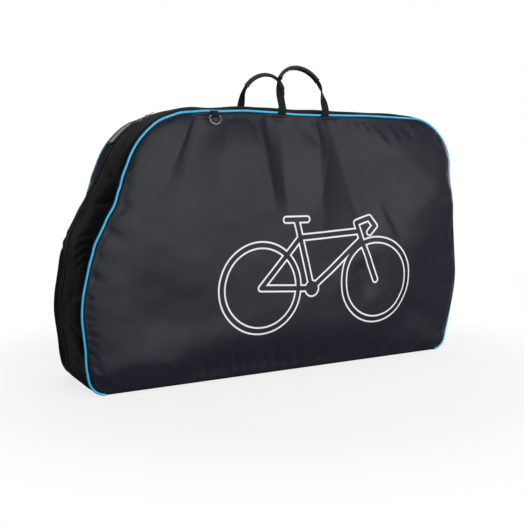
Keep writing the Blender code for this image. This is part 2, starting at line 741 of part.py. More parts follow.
def build_wheel_pocket(side, pad, finishes):
    """An open-topped pocket sewn to the inner side of a panel's padding."""
    route = pocket_route()
    mesh_builder = bmesh.new()
    face = []
    sewn = []
    for point in route:
        face.append(mesh_builder.verts.new((point.x, side * POCKET_FACE_Y, point.y)))
        seat = surface_depth(pad, point, side, outside=False) - POCKET_SEAM
        sewn.append(mesh_builder.verts.new((point.x, side * seat, point.y)))
    mesh_builder.faces.new(face)
    for index in range(len(route) - 1):
        mesh_builder.faces.new((face[index], face[index + 1], sewn[index + 1], sewn[index]))
    pocket = object_from_bmesh(SIDE_NAMES[side] + "_wheel_pocket", mesh_builder, finishes["lining"])
    wall = pocket.modifiers.new("wall", "SOLIDIFY")
    wall.thickness = POCKET_WALL
    wall.offset = 0.0
    wall.use_even_offset = True


def arch_angles():
    """Angles round a handle's arch at which its strap gets a section."""
    return [math.pi * step / HANDLE_ARC_STEPS for step in range(HANDLE_ARC_STEPS + 1)]


def handle_frame(angle):
    """Position and the in-plane outward direction at an angle on a handle's arch."""
    across = math.cos(angle)
    up = math.sin(angle)
    centre = Vector((-HANDLE_HALF * across, 0, HANDLE_STRAIGHT + HANDLE_RISE * up))
    outward = Vector((-across / HANDLE_HALF, 0, up / HANDLE_RISE)).normalized()
    return centre, outward


def webbing_section(centre, outward, width, thickness, twist):
    """Rectangle of webbing: twist 0 lies flat in the handle's plane, 1 has turned a quarter."""
    turn = twist * math.pi / 2
    across = Vector((0, 1, 0))
    broad = outward * math.cos(turn) + across * math.sin(turn)
    thin = across * math.cos(turn) - outward * math.sin(turn)
    corners = ((1, 1), (1, -1), (-1, -1), (-1, 1))
    return [centre + broad * (a * width / 2) + thin * (b * thickness / 2) for a, b in corners]


def handle_strap_rings():
    """Sections of a handle's strap: flat sewn legs that twist and fold into the grip's core."""
    fold_end = (math.pi / 2 - GRIP_HALF_ANGLE) * FOLD_END_SHARE
    rings = []
    for angle in arch_angles():
        centre, outward = handle_frame(angle)
        share = min(1.0, min(angle, math.pi - angle) / fold_end)
        twist = LEG_TWIST_SHARE + (1 - LEG_TWIST_SHARE) * share
        width = WEBBING_WIDTH + (GRIP_CORE_WIDTH - WEBBING_WIDTH) * share
        thickness = WEBBING_THICKNESS + (GRIP_CORE_THICKNESS - WEBBING_THICKNESS) * share
        rings.append(webbing_section(centre, outward, width, thickness, twist))
    return leg_rings(-1, rings) + rings + leg_rings(1, rings)[::-1]


def leg_rings(end, arch):
    """Sections of one straight leg, from its rounded sewn end up to the arch."""
    half_thickness = WEBBING_THICKNESS / 2
    x = end * HANDLE_HALF
    outward = Vector((end, 0, 0))
    sweep = math.pi / 2 - LEG_ROUND_START
    rings = []
    for step in range(LEG_ROUND_STEPS + 1):
        angle = LEG_ROUND_START + sweep * step / LEG_ROUND_STEPS
        z = -half_thickness * math.cos(angle)
        thickness = WEBBING_THICKNESS * math.sin(angle)
        rings.append(webbing_section(Vector((x, 0, z)), outward, WEBBING_WIDTH, thickness, 0))
    for share in LEG_SHARES:
        centre = Vector((x, 0, HANDLE_STRAIGHT * share))
        twist = LEG_TWIST_SHARE * share
        rings.append(webbing_section(centre, outward, WEBBING_WIDTH, WEBBING_THICKNESS, twist))
    return rings


def grip_rings(width, thickness):
    """Sections of the grip's sleeve, rounded, from one end to the other."""
    rings = []
    steps = HANDLE_ARC_STEPS
    for step in range(steps + 1):
        angle = math.pi / 2 + GRIP_HALF_ANGLE * (2 * step / steps - 1)
        centre, outward = handle_frame(angle)
        ring = []
        for side in range(GRIP_SIDES):
            around = 2 * math.pi * (side + 0.5) / GRIP_SIDES
            across = math.copysign(abs(math.cos(around)) ** GRIP_ROUNDING, math.cos(around))
            up = math.copysign(abs(math.sin(around)) ** GRIP_ROUNDING, math.sin(around))
            ring.append(centre + Vector((0, 1, 0)) * (across * width / 2) + outward * (up * thickness / 2))
        rings.append(ring)
    return rings


def build_handle(side, panel, finishes):
    """A carrying handle: strap, grip sleeve and the two ends sewn into the top seam."""
    name = SIDE_NAMES[side]
    end_low = BAG_HEIGHT - PIPING_INSET - WEBBING_END_LAP
    end_high = end_low + WEBBING_END_HEIGHT
    end_inner = surface_depth(panel, Vector((HANDLE_X, end_low)), side, outside=True) + CLEARANCE
    end_outer = end_inner + WEBBING_THICKNESS
    half_width = WEBBING_WIDTH / 2
    for label, x in (("left", HANDLE_X - HANDLE_HALF), ("right", HANDLE_X + HANDLE_HALF)):
        depths = sorted((side * end_inner, side * end_outer))
        rings = box_rings((x - half_width, depths[0], end_low), (x + half_width, depths[1], end_high))
        skinned_solid(f"{name}_handle_{label}_end", rings, finishes["webbing"])

    pivot = bpy.data.objects.new(name + "_handle_pivot", None)
    pivot_y = side * (end_outer + CLEARANCE + WEBBING_THICKNESS / 2)
    pivot.location = (HANDLE_X, pivot_y, end_high + HANDLE_HINGE_RISE)
    pivot.rotation_euler = (side * HANDLE_LEAN, 0, 0)
    bpy.context.collection.objects.link(pivot)
    skinned_solid(name + "_handle_strap", handle_strap_rings(), finishes["webbing"], parent=pivot)
    outer = grip_rings(GRIP_WIDTH, GRIP_THICKNESS)
    inner = grip_rings(GRIP_CORE_WIDTH + 2 * GRIP_ROOM, GRIP_CORE_THICKNESS + 2 * GRIP_ROOM)
    skinned_solid(name + "_handle_grip", outer + inner[::-1], finishes["grip"], loop=True, parent=pivot)


def build_ring(side, outline, panel, finishes):
    """A D-ring in a folded webbing tab, sewn below the top seam, as far from the handles as the front one."""
    name = SIDE_NAMES[side]
    top_start = outline.points[outline.arcs[SHOULDER_CORNER]["last"]].x
    x = HANDLE_X + side * (HANDLE_X - top_start - RING_FROM_SHOULDER)
    high = Vector((x, BAG_HEIGHT - TAB_TOP))
    low = Vector((x, BAG_HEIGHT - TAB_TOP - TAB_LENGTH - RING_DEPTH))
    steps = RING_ARC_STEPS
    places = [high.lerp(low, step / steps) for step in range(steps + 1)]
    depths = [surface_depth(panel, place, side, outside=True) for place in places]
    rise = depths[-1] - depths[0]
    slope = math.atan2(rise, high.y - low.y)
    down = Vector((0, side * math.sin(slope), -math.cos(slope)))
    out = Vector((0, side * math.cos(slope), math.sin(slope)))
    bulge = max(depth - depths[0] - rise * step / steps for step, depth in enumerate(depths))
    origin = Vector((x, side * (depths[0] + bulge), high.y)) + out * CLEARANCE

    hole = RING_WIRE_RADIUS + CLEARANCE
    bend = hole + TAB_PLY / 2
    core = Vector((TAB_LENGTH - hole - TAB_PLY, bend + TAB_PLY / 2))
    under = Vector((0, TAB_PLY / 2))
    over = Vector((0, under.y + TAB_PLY + CLEARANCE))
    route = [under, Vector((core.x, under.y))]
    for step in range(1, TAB_LOOP_STEPS + 1):
        angle = -math.pi / 2 + TAB_LOOP_SWEEP * step / TAB_LOOP_STEPS
        route.append(core + Vector((math.cos(angle), math.sin(angle))) * bend)
    route.append(Vector((core.x - TAB_NECK_SHARE * bend, over.y)))
    route.append(over)
    tab = [(point.x, point.y) for point in ribbon_outline(route, TAB_PLY)]
    sloped_prism(name + "_ring_tab", tab, TAB_WIDTH, origin, down, out, finishes["webbing"])

    curve = bpy.data.curves.new(name + "_d_ring", "CURVE")
    curve.dimensions = "3D"
    curve.bevel_depth = RING_WIRE_RADIUS
    curve.bevel_resolution = TUBE_ROUNDNESS
    spline = curve.splines.new("POLY")
    spline.use_cyclic_u = True
    points = ring_route()
    spline.points.add(len(points) - 1)
    for place, (along, drop) in zip(spline.points, points):
        place.co = (along, 0, -drop, 1.0)
    ring = bpy.data.objects.new(name + "_d_ring", curve)
    ring.data.materials.append(finishes["nickel"])
    ring.location = origin + down * core.x + out * core.y
    ring.rotation_euler = (side * slope, 0, 0)
    bpy.context.collection.objects.link(ring)


def ring_route():
    """Middle line of a D-ring, from its bar: (along the bar, below it)."""
    half = RING_WIDTH / 2 - RING_WIRE_RADIUS
    depth = RING_DEPTH - 2 * RING_WIRE_RADIUS
    corner = RING_CORNER_RADIUS
    points = []
    for step in range(RING_CORNER_STEPS + 1):
        angle = math.pi / 2 * step / RING_CORNER_STEPS
        points.append((half - corner + corner * math.sin(angle), corner - corner * math.cos(angle)))
    for step in range(1, RING_ARC_STEPS):
        angle = math.pi * step / RING_ARC_STEPS
        points.append((half * math.cos(angle), corner + (depth - corner) * math.sin(angle)))
    for step in range(RING_CORNER_STEPS + 1):
        angle = math.pi / 2 * step / RING_CORNER_STEPS
        points.append((-half + corner - corner * math.cos(angle), corner - corner * math.sin(angle)))
    return points


def clear_scene():
    """Remove every object of the open file."""
    for item in list(bpy.data.objects):
        bpy.data.objects.remove(item, do_unlink=True)


def main():
    """Build the whole bag."""
    clear_scene()
    finishes = make_finishes()
    outline = Outline()
    build_base(outline, finishes)
    build_gusset(outline, finishes)
    build_zip(outline, finishes)
    build_card_holder(outline, finishes)
    for side in (FRONT, BACK):
        panel, pad = build_panel(side, outline, finishes)
        bpy.context.view_layer.update()
        build_wheel_pocket(side, pad, finishes)
        build_handle(side, panel, finishes)
        build_ring(side, outline, panel, finishes)
    build_slider("left", LEFT_SLIDER_ANGLE, 1, outline, finishes)
    build_slider("right", RIGHT_SLIDER_ANGLE, -1, outline, finishes)


main()
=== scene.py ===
"""Soft bike travel bag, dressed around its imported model.

Metres, +Z up. The bag stands on z = 0, its front panel faces -Y and its length runs along X.
"""

import logging
import math
from collections.abc import Callable, Sequence
from dataclasses import dataclass
from enum import Enum
from functools import cache
from itertools import pairwise
from typing import Any

import bpy
import numpy as np
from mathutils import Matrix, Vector


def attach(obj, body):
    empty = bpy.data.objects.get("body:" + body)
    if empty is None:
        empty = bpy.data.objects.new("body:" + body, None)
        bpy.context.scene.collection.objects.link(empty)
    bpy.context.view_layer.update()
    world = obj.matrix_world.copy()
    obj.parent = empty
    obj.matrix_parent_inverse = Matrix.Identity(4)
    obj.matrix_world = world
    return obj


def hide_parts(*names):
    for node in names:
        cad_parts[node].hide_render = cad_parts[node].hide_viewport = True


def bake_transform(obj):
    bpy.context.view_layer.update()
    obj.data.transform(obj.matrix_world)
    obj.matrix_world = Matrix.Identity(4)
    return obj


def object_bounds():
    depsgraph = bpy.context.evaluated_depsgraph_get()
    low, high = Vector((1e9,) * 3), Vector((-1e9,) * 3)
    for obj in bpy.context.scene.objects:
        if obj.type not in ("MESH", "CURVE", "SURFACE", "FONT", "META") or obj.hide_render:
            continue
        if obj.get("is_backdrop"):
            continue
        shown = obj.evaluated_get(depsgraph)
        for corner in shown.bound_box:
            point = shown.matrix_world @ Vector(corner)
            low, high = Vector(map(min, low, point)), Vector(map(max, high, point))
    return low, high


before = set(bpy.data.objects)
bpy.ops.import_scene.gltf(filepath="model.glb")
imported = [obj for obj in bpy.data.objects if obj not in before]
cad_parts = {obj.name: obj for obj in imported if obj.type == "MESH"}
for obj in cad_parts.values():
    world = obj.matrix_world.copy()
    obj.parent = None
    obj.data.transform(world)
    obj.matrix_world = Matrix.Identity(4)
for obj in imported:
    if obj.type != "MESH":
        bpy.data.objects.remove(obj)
CAD_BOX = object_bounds()

SOFT_ANGLE = math.radians(50.0)
WELD = 1e-6
TINY = 1e-12
PROBE = 0.001  # a step used to find directions
MM = 0.001
LEFT_SHOULDER = 3
RIGHT_SHOULDER = 4
CRISP_REACH = 1.3  # half the foot of a crisp fold, in its widths

log = logging.getLogger("bike_bag")
Array = np.ndarray
Pair = tuple[float, float]
Triple = tuple[float, float, float]
Cells = tuple[int, int]
Piece = bpy.types.Object
Tree = bpy.types.NodeTree
Node = bpy.types.Node
Socket = bpy.types.NodeSocket
Material = bpy.types.Material
Placer = Callable[[Array, Array], Array]


class Side(Enum):
    """The two faces of the bag, by the sign of their depth."""

    FRONT = -1
    BACK = 1

    @property
    def word(self) -> str:
        """The side's name in front of a piece's name."""
        return self.name.lower()

    @property
    def body(self) -> str:
        """The moving group that carries this face."""
        return "front_flap" if self is Side.FRONT else "shell"

    def upright(self, flat: Array, depth: Array) -> Array:
        """Points at places of the side view and at depths on this side of the bag."""
        return np.stack([flat[:, 0], self.value * depth, flat[:, 1]], axis=1)


# Shading helpers


def linear(code: str) -> tuple[float, ...]:
    """Linear colour, with an alpha of 1, of an sRGB hex code of six digits."""
    parts = [int(code[index : index + 2], 16) / 255 for index in (0, 2, 4)]
    return (*(part / 12.92 if part <= 0.04045 else ((part + 0.055) / 1.055) ** 2.4 for part in parts), 1.0)


def feed(tree: Tree, node: Node, feeds: dict[Any, Any]) -> None:
    """Set a node's inputs.

    Args:
        tree: the material's node tree.
        node: the node.
        feeds: an input's name or number, to a value or to the socket that feeds it.
    """
    for key, value in feeds.items():
        if isinstance(value, Socket):
            tree.links.new(value, node.inputs[key])
        else:
            node.inputs[key].default_value = value


def add_node(tree: Tree, kind: str, feeds: dict[Any, Any], output: int | str = 0, **settings: Any) -> Socket:
    """Add one shader node with its settings, values and links.

    Args:
        tree: the material's node tree.
        kind: the node's type, without the word that all types start with.
        feeds: an input's name or number, to a value or to the socket that feeds it.
        output: name or number of the output that is wanted.
        **settings: the node's own properties.

    Returns:
        The wanted output.
    """
    node = tree.nodes.new("ShaderNode" + kind)
    for key, value in settings.items():
        setattr(node, key, value)
    feed(tree, node, feeds)
    return node.outputs[output]


def mottled(tree: Tree, where: Socket, colour: str, patch: float, depth: float) -> Socket:
    """A colour that varies softly from place to place.

    Args:
        tree: the material's node tree.
        where: coordinates in metres.
        colour: sRGB hex code.
        patch: size of a patch in metres.
        depth: how far the colour darkens and lightens, as a share.

    Returns:
        The colour's socket.
    """
    noise = add_node(tree, "TexNoise", {"Vector": where, "Scale": 1 / patch, "Detail": 3.0})
    feeds = {"Value": noise, "From Min": 0.3, "From Max": 0.7, "To Min": 1 - depth, "To Max": 1 + depth}
    shade = add_node(tree, "MapRange", feeds)
    return add_node(tree, "VectorMath", {0: linear(colour)[:3], "Scale": shade}, operation="SCALE")


def wave(tree: Tree, where: Socket, period: float) -> Socket:
    """A sine of one coordinate with a period in metres."""
    turns = add_node(tree, "Math", {0: where, 1: 2 * math.pi / period}, operation="MULTIPLY")
    return add_node(tree, "Math", {0: turns}, operation="SINE")


def cloth_place(tree: Tree) -> tuple[Socket, Socket, Socket]:
    """The place on the piece's own UV map, which is in metres, and its two coordinates."""
    uv = add_node(tree, "UVMap", {}, uv_map="UVMap")
    split = add_node(tree, "SeparateXYZ", {0: uv}).node.outputs
    return uv, split[0], split[1]


def seen_share(tree: Tree, gloss: float) -> Socket:
    """How much a ray counts as a look from the camera.

    Args:
        tree: the node tree of a material or of the world.
        gloss: share for mirrored light.

    Returns:
        1 for the camera, also through the clear sheet, the share for mirrored light, 0 for the rest.
    """
    ray = add_node(tree, "LightPath", {}).node.outputs
    straight = {0: ray["Is Camera Ray"], 1: ray["Is Transmission Ray"]}
    clear = add_node(tree, "Math", straight, operation="MAXIMUM")
    mirrored = add_node(tree, "Math", {0: ray["Is Glossy Ray"], 1: gloss}, operation="MULTIPLY")
    return add_node(tree, "Math", {0: clear, 1: mirrored}, operation="MAXIMUM")


# Finishes


@dataclass(frozen=True)
class CycleSign:
    """Screen-printed outline of a plain bicycle, the generic sign for what the bag carries.

    Every part is a stroke of one width, and only the edge round all the strokes is printed.
    """

    ink: str = "E9EAEC"
    stroke: float = 0.0093
    line: float = 0.0050
    blur: float = 0.0005
    wear: float = 1 / 900  # size of a worn spot in the ink
    thinnest: float = 0.82
    rear_hub: Pair = (-0.1270, 0.2616)
    front_hub: Pair = (0.2874, 0.2616)
    wheel: float = 0.1254
    crank: Pair = (0.0466, 0.2504)
    chainring: float = 0.0150
    saddle: tuple[Pair, ...] = ((-0.0430, 0.4576), (0.0287, 0.4576))
    seat: Pair = (-0.0071, 0.4520)
    seat_joint: Pair = (0.0052, 0.4039)
    head: Pair = (0.2225, 0.4151)
    fork: Pair = (0.2326, 0.3904)
    handlebar: tuple[Pair, ...] = ((0.2169, 0.4408), (0.2662, 0.4554), (0.2841, 0.4308), (0.2639, 0.4106))

    def over(self, tree: Tree, place: Socket, cloth: Socket) -> Socket:
        """Print the sign on a colour.

        Args:
            tree: the material's node tree.
            place: coordinates in metres, rightwards and upwards.
            cloth: the colour's socket.

        Returns:
            The colour with the sign on it.
        """
        tubes = (
            (self.seat, self.crank, self.fork, self.front_hub),
            (self.crank, self.rear_hub, self.seat_joint, self.head),
            self.saddle,
            (self.fork, *self.handlebar),
        )
        gaps = [self.bar_gap(tree, place, start, end) for line in tubes for start, end in pairwise(line)]
        gaps.append(self.round_gap(tree, place, self.crank, self.chainring))
        for hub in (self.rear_hub, self.front_hub):
            gap = self.round_gap(tree, place, hub, self.wheel)
            gaps.append(add_node(tree, "Math", {0: gap}, operation="ABSOLUTE"))
        nearest = gaps[0]
        for gap in gaps[1:]:
            nearest = add_node(tree, "Math", {0: nearest, 1: gap}, operation="MINIMUM")
        out = add_node(tree, "Math", {0: nearest, 1: self.stroke}, operation="SUBTRACT")
        edge = add_node(tree, "Math", {0: out}, operation="ABSOLUTE")
        half = self.line / 2
        feeds = {"Value": edge, "From Min": half + self.blur, "From Max": half - self.blur}
        mask = add_node(tree, "MapRange", feeds)
        grain = add_node(tree, "TexNoise", {"Vector": place, "Scale": 1 / self.wear, "Detail": 2.0})
        feeds = {"Value": grain, "From Min": 0.25, "From Max": 0.40, "To Min": self.thinnest}
        worn = add_node(tree, "MapRange", feeds)
        share = add_node(tree, "Math", {0: mask, 1: worn}, operation="MULTIPLY")
        return add_node(tree, "Mix", {0: share, 6: cloth, 7: linear(self.ink)}, 2, data_type="RGBA")

    def round_gap(self, tree: Tree, place: Socket, centre: Pair, radius: float) -> Socket:
        """Distance from a circle's line, negative inside."""
        away = add_node(tree, "VectorMath", {0: place, 1: (*centre, 0.0)}, operation="SUBTRACT")
        size = add_node(tree, "VectorMath", {0: away}, "Value", operation="LENGTH")
        return add_node(tree, "Math", {0: size, 1: radius}, operation="SUBTRACT")

    def bar_gap(self, tree: Tree, place: Socket, start: Pair, end: Pair) -> Socket:
        """Distance from a straight line.

        Args:
            tree: the material's node tree.
            place: coordinates in metres.
            start: the line's one end.
            end: its other end.

        Returns:
            The distance's socket.
        """
        run = (end[0] - start[0], end[1] - start[1], 0.0)
        scale = 1 / (run[0] ** 2 + run[1] ** 2)
        away = add_node(tree, "VectorMath", {0: place, 1: (*start, 0.0)}, operation="SUBTRACT")
        along = add_node(tree, "VectorMath", {0: away, 1: run}, "Value", operation="DOT_PRODUCT")
        share = add_node(tree, "Math", {0: along, 1: scale}, operation="MULTIPLY", use_clamp=True)
        nearest = add_node(tree, "VectorMath", {0: run, "Scale": share}, operation="SCALE")
        gap = add_node(tree, "VectorMath", {0: away, 1: nearest}, operation="SUBTRACT")
        return add_node(tree, "VectorMath", {0: gap}, "Value", operation="LENGTH")


@dataclass(frozen=True)
class Finish:
    """A material, named for the real one and for how it was made."""

    name: str
    colour: str

    def make(self) -> Material:
        """Build the material."""
        material = bpy.data.materials.new(self.name)
        material.use_nodes = True
        tree = material.node_tree
        feed(tree, tree.nodes["Principled BSDF"], self.feeds(tree))
        return material

    def feeds(self, tree: Tree) -> dict[str, Any]:
        """What goes into the shader: here a plain colour."""
        return {"Base Color": linear(self.colour)}

    def bump(self, tree: Tree, height: Socket) -> Socket:
        """The surface's direction over this finish's relief."""
        feeds = {"Height": height, "Distance": self.relief_mm * MM, "Strength": self.strength}
        return add_node(tree, "Bump", feeds)


@dataclass(frozen=True)
class WovenCloth(Finish):
    """Woven polyester with a coating: a fine plain weave, a dull gloss and slight patches."""

    thread_mm: float = 1.6  # the real thread is near 0.5 mm, drawn coarser so that a close view shows it
    roughness: float = 0.6
    sheen: float = 0.1
    relief_mm: float = 0.08
    gloss: float = 0.15  # share of the usual mirror light; the coat is on the inside, so the face is dull
    sign: CycleSign | None = None
    patch: float = 0.12
    patch_depth: float = 0.06
    strength: float = 0.6
    sheen_roughness: float = 0.4

    def feeds(self, tree: Tree) -> dict[str, Any]:
        """What goes into the shader.

        Args:
            tree: the material's node tree.

        Returns:
            The shader's inputs, with the weave, the patches and the print.
        """
        uv, along, up = cloth_place(tree)
        thread = self.thread_mm * MM
        threads = {0: wave(tree, along, 2 * thread), 1: wave(tree, up, 2 * thread)}
        crossing = add_node(tree, "Math", threads, operation="MULTIPLY")
        fibre = add_node(tree, "TexNoise", {"Vector": uv, "Scale": 1 / thread, "Detail": 2.0})
        height = add_node(tree, "Math", {0: crossing, 1: fibre}, operation="ADD")
        cloth = mottled(tree, uv, self.colour, self.patch, self.patch_depth)
        if self.sign:
            cloth = self.sign.over(tree, uv, cloth)
        return {
            "Base Color": cloth, "Normal": self.bump(tree, height),
            "Roughness": self.roughness, "Specular IOR Level": self.gloss,
            "Sheen Weight": self.sheen, "Sheen Roughness": self.sheen_roughness,
        }


@dataclass(frozen=True)
class WovenWebbing(Finish):
    """Narrow woven webbing: cross ribs that catch the light, and finer yarns along it."""

    rib_mm: float = 1.7
    relief_mm: float = 0.15
    yarn_share: float = 0.4
    patch: float = 0.02
    patch_depth: float = 0.12
    strength: float = 0.7
    roughness: float = 0.7
    gloss: float = 0.15
    sheen: float = 0.05

    def feeds(self, tree: Tree) -> dict[str, Any]:
        """What goes into the shader: ribs across the UV map, which runs along and across in metres.

        Args:
            tree: the material's node tree.

        Returns:
            The shader's inputs.
        """
        uv, along, across = cloth_place(tree)
        rib, yarn = (wave(tree, way, self.rib_mm * MM) for way in (along, across))
        fine = add_node(tree, "Math", {0: yarn, 1: self.yarn_share}, operation="MULTIPLY")
        height = add_node(tree, "Math", {0: rib, 1: fine}, operation="ADD")
        return {
            "Base Color": mottled(tree, uv, self.colour, self.patch, self.patch_depth),
            "Normal": self.bump(tree, height), "Roughness": self.roughness,
            "Specular IOR Level": self.gloss, "Sheen Weight": self.sheen,
        }


@dataclass(frozen=True)
class Moulded(Finish):
    """Extruded, moulded or plated: a fine grain and small changes of gloss, in place on the object."""

    roughness: float
    grain_mm: float = 1.5
    relief_mm: float = 0.03
    patch_depth: float = 0.05
    coat: float = 0.0
    alpha: float = 1.0
    metallic: float = 0.0
    patch: float = 0.03
    strength: float = 0.5
    gloss_change: float = 0.08

    def feeds(self, tree: Tree) -> dict[str, Any]:
        """What goes into the shader, on object coordinates.

        Args:
            tree: the material's node tree.

        Returns:
            The shader's inputs.
        """
        where = add_node(tree, "TexCoord", {}, "Object")
        feeds = {"Vector": where, "Scale": 1 / (self.grain_mm * MM), "Detail": 3.0}
        grain = add_node(tree, "TexNoise", feeds)
        ends = (self.roughness - self.gloss_change, self.roughness + self.gloss_change)
        gloss = add_node(tree, "MapRange", {"Value": grain, "To Min": ends[0], "To Max": ends[1]})
        return {
            "Base Color": mottled(tree, where, self.colour, self.patch, self.patch_depth),
            "Normal": self.bump(tree, grain), "Roughness": gloss, "Metallic": self.metallic,
            "Coat Weight": self.coat, "Alpha": self.alpha,
        }


@dataclass(frozen=True)
class RuledCard(Finish):
    """Uncoated card with a few ruled lines to write on."""

    line_mm: float = 9.0
    ink: str = "3A3A3E"
    crest: float = 0.985
    patch: float = 0.004
    patch_depth: float = 0.08
    roughness: float = 0.8

    def feeds(self, tree: Tree) -> dict[str, Any]:
        """What goes into the shader: paper with a dark line at each crest of a wave.

        Args:
            tree: the material's node tree.

        Returns:
            The shader's inputs.
        """
        uv, _, up = cloth_place(tree)
        row = wave(tree, up, self.line_mm * MM)
        ruled = add_node(tree, "Math", {0: row, 1: self.crest}, operation="GREATER_THAN")
        paper = mottled(tree, uv, self.colour, self.patch, self.patch_depth)
        card = add_node(tree, "Mix", {0: ruled, 6: paper, 7: linear(self.ink)}, 2, data_type="RGBA")
        return {"Base Color": card, "Roughness": self.roughness}


# Each material by its use. A comment says what the real one's make gives the eye.
PANEL = {"colour": "1D1E27", "roughness": 0.40, "sheen": 0.0, "gloss": 0.165, "relief_mm": 0.16}
FINISHES = {
    # Coated cloth: near black, brightening in a broad soft patch where it swells towards the light
    "panel": WovenCloth("coated_polyester_panel", **PANEL),
    "printed_panel": WovenCloth("printed_polyester_panel", **PANEL, sign=CycleSign()),
    # The same cloth with a duller face and a darker colour. The darker colour is painted shade, so that the
    # strip between the panels stays dark
    "side": WovenCloth("coated_polyester_side_painted_shade", "0F1015", roughness=0.40, sheen=0.0, gloss=0.036),
    # Tarpaulin: a coarser weave under its coat, almost without gloss
    "base": WovenCloth("tarpaulin_base", "131418", thread_mm=2.0, roughness=0.5, sheen=0.0, gloss=0.04),
    # Brushed nylon: mid grey, with a pale nap at a grazing view
    "lining": WovenCloth("brushed_nylon_lining", "46474D", thread_mm=1.2, roughness=0.7, sheen=0.2),
    # Extruded vinyl over a cord: clear sky blue with a narrow highlight along it
    "piping": Moulded("extruded_vinyl_piping", "36B2E0", 0.32, relief_mm=0.05, patch_depth=0.06),
    # Woven webbing: black cross ribs that break the light into bars
    "webbing": WovenWebbing("woven_polypropylene_webbing", "151518"),
    # Smooth nylon: a finer weave with more shine than the webbing beside it
    "grip": WovenCloth(
        "grip_sleeve_nylon", "1B1B1E", thread_mm=0.9, roughness=0.45, relief_mm=0.12, gloss=0.3,
    ),
    # Bonded thread: smooth beads, dark, mid and pale, that catch small lights along a seam. The mid grey is
    # partly painted highlight: it is lighter so that the stitched line along the zip reads as the lit edge of
    # the fold
    "thread": Moulded("bonded_thread_dark", "2E2E33", 0.6, grain_mm=0.5),
    "topstitch_and_painted_highlight": Moulded("bonded_thread_with_painted_highlight", "73747A", 0.6, grain_mm=0.5),
    "pale_thread": Moulded("bonded_thread_grey", "8A8A90", 0.6, grain_mm=0.5),
    # Woven tape: matt and a little paler than the cloth
    "tape": WovenCloth("zip_tape_weave", "303036", thread_mm=0.8, roughness=0.7),
    # Moulded acetal: dark with a waxy gloss
    "teeth": Moulded("moulded_acetal_teeth", "26262A", 0.35),
    # Plated zinc: a bright mirror, and a darker one for the sliders
    "nickel": Moulded("plated_zinc_nickel", "8C8D92", 0.30, relief_mm=0.01, metallic=1.0),
    "gunmetal": Moulded("plated_zinc_gunmetal", "66676C", 0.34, relief_mm=0.01, metallic=1.0),
    # Uncoated card: warm white and matt, with dark ruled lines
    "card": RuledCard("uncoated_card", "DAD6D0"),
    # Clear vinyl: the card shows through under a sharp gloss
    "window": Moulded("clear_vinyl_sheet", "D9DCDE", 0.12, alpha=0.30, coat=0.5),
    # Vinyl binding: black with a satin face
    "frame": Moulded("vinyl_binding", "131316", 0.42, relief_mm=0.05),
    # Polyethylene board: dark, waxy and plain
    "board": Moulded("polyethylene_board", "232326", 0.5),
}


@cache
def material_of(use: str) -> Material:
    """The material for one use, made when it is first asked for."""
    return FINISHES[use].make()


# Mesh helpers


def read_points(piece: Piece) -> Array:
    """The piece's vertices as rows of x, y, z."""
    flat = np.empty(len(piece.data.vertices) * 3)
    piece.data.vertices.foreach_get("co", flat)
    return flat.reshape(-1, 3)


def write_points(piece: Piece, points: Array) -> None:
    """Move the piece's vertices."""
    piece.data.vertices.foreach_set("co", np.ascontiguousarray(points).ravel())
    piece.data.update()


def take(piece: Piece) -> None:
    """Make one object the only selected and the active one."""
    bpy.ops.object.select_all(action="DESELECT")
    piece.select_set(True)
    bpy.context.view_layer.objects.active = piece


def new_primitive(name: str, operator: Callable[..., Any], **options: Any) -> Piece:
    """Add a primitive with nothing else selected.

    Args:
        name: name of the piece.
        operator: the primitive's operator.
        **options: the operator's own settings.

    Returns:
        The new object.
    """
    bpy.ops.object.select_all(action="DESELECT")
    operator(**options)
    piece = bpy.context.object
    piece.name = piece.data.name = name
    return piece


def add_object(name: str, data: bpy.types.ID) -> Piece:
    """A new object in the scene, made of a mesh, a lamp or a camera."""
    made = bpy.data.objects.new(name, data)
    bpy.context.collection.objects.link(made)
    return made


def edit(piece: Piece, *steps: Callable[[], Any]) -> None:
    """Run operators on the whole mesh in edit mode.

    Args:
        piece: the piece.
        *steps: the operators, in order.
    """
    take(piece)
    bpy.ops.object.mode_set(mode="EDIT")
    bpy.ops.mesh.select_all(action="SELECT")
    for step in steps:
        step()
    bpy.ops.object.mode_set(mode="OBJECT")


def smooth(piece: Piece) -> None:
    """Smooth shading that keeps real edges sharp."""
    take(piece)
    bpy.ops.object.shade_smooth_by_angle(angle=SOFT_ANGLE)


def grid(name: str, cells: Cells, size: Pair) -> tuple[Piece, Array]:
    """Add a flat grid whose UV map is in metres.

    Args:
        name: name of the piece.
        cells: faces along and across.
        size: length and width of the cloth in metres.

    Returns:
        The grid, and each vertex's share of the length and of the width.
    """
    piece = new_primitive(
        name, bpy.ops.mesh.primitive_grid_add, x_subdivisions=cells[0], y_subdivisions=cells[1], size=2.0,
    )
    shares = (read_points(piece)[:, :2] + 1) / 2
    layer = piece.data.uv_layers[0]
    layer.name = "UVMap"
    flat = np.empty(len(layer.data) * 2)
    layer.data.foreach_get("uv", flat)
    layer.data.foreach_set("uv", (flat.reshape(-1, 2) * np.array(size)).ravel())
    return piece, shares


def shell(name: str, cells: Cells, size: Pair, outer: Placer, inner: Placer) -> Piece:
    """A closed piece of cloth or padding between two faces laid over one grid.

    Args:
        name: name of the piece.
        cells: faces along and across.
        size: length and width in metres, for the weave.
        outer: places the outer face from the shares along and across.
        inner: places the inner face the same way.

    Returns:
        The piece.
    """
    piece, shares = grid(name, cells, size)
    count = len(shares)
    wall = piece.modifiers.new("wall", "SOLIDIFY")
    wall.thickness = 1.0
    wall.offset = -1.0
    bpy.ops.object.modifier_apply(modifier=wall.name)
    points = read_points(piece)
    points[:count] = outer(shares[:, 0], shares[:, 1])
    points[count:] = inner(shares[:, 0], shares[:, 1])
    write_points(piece, points)
    smooth(piece)
    return piece


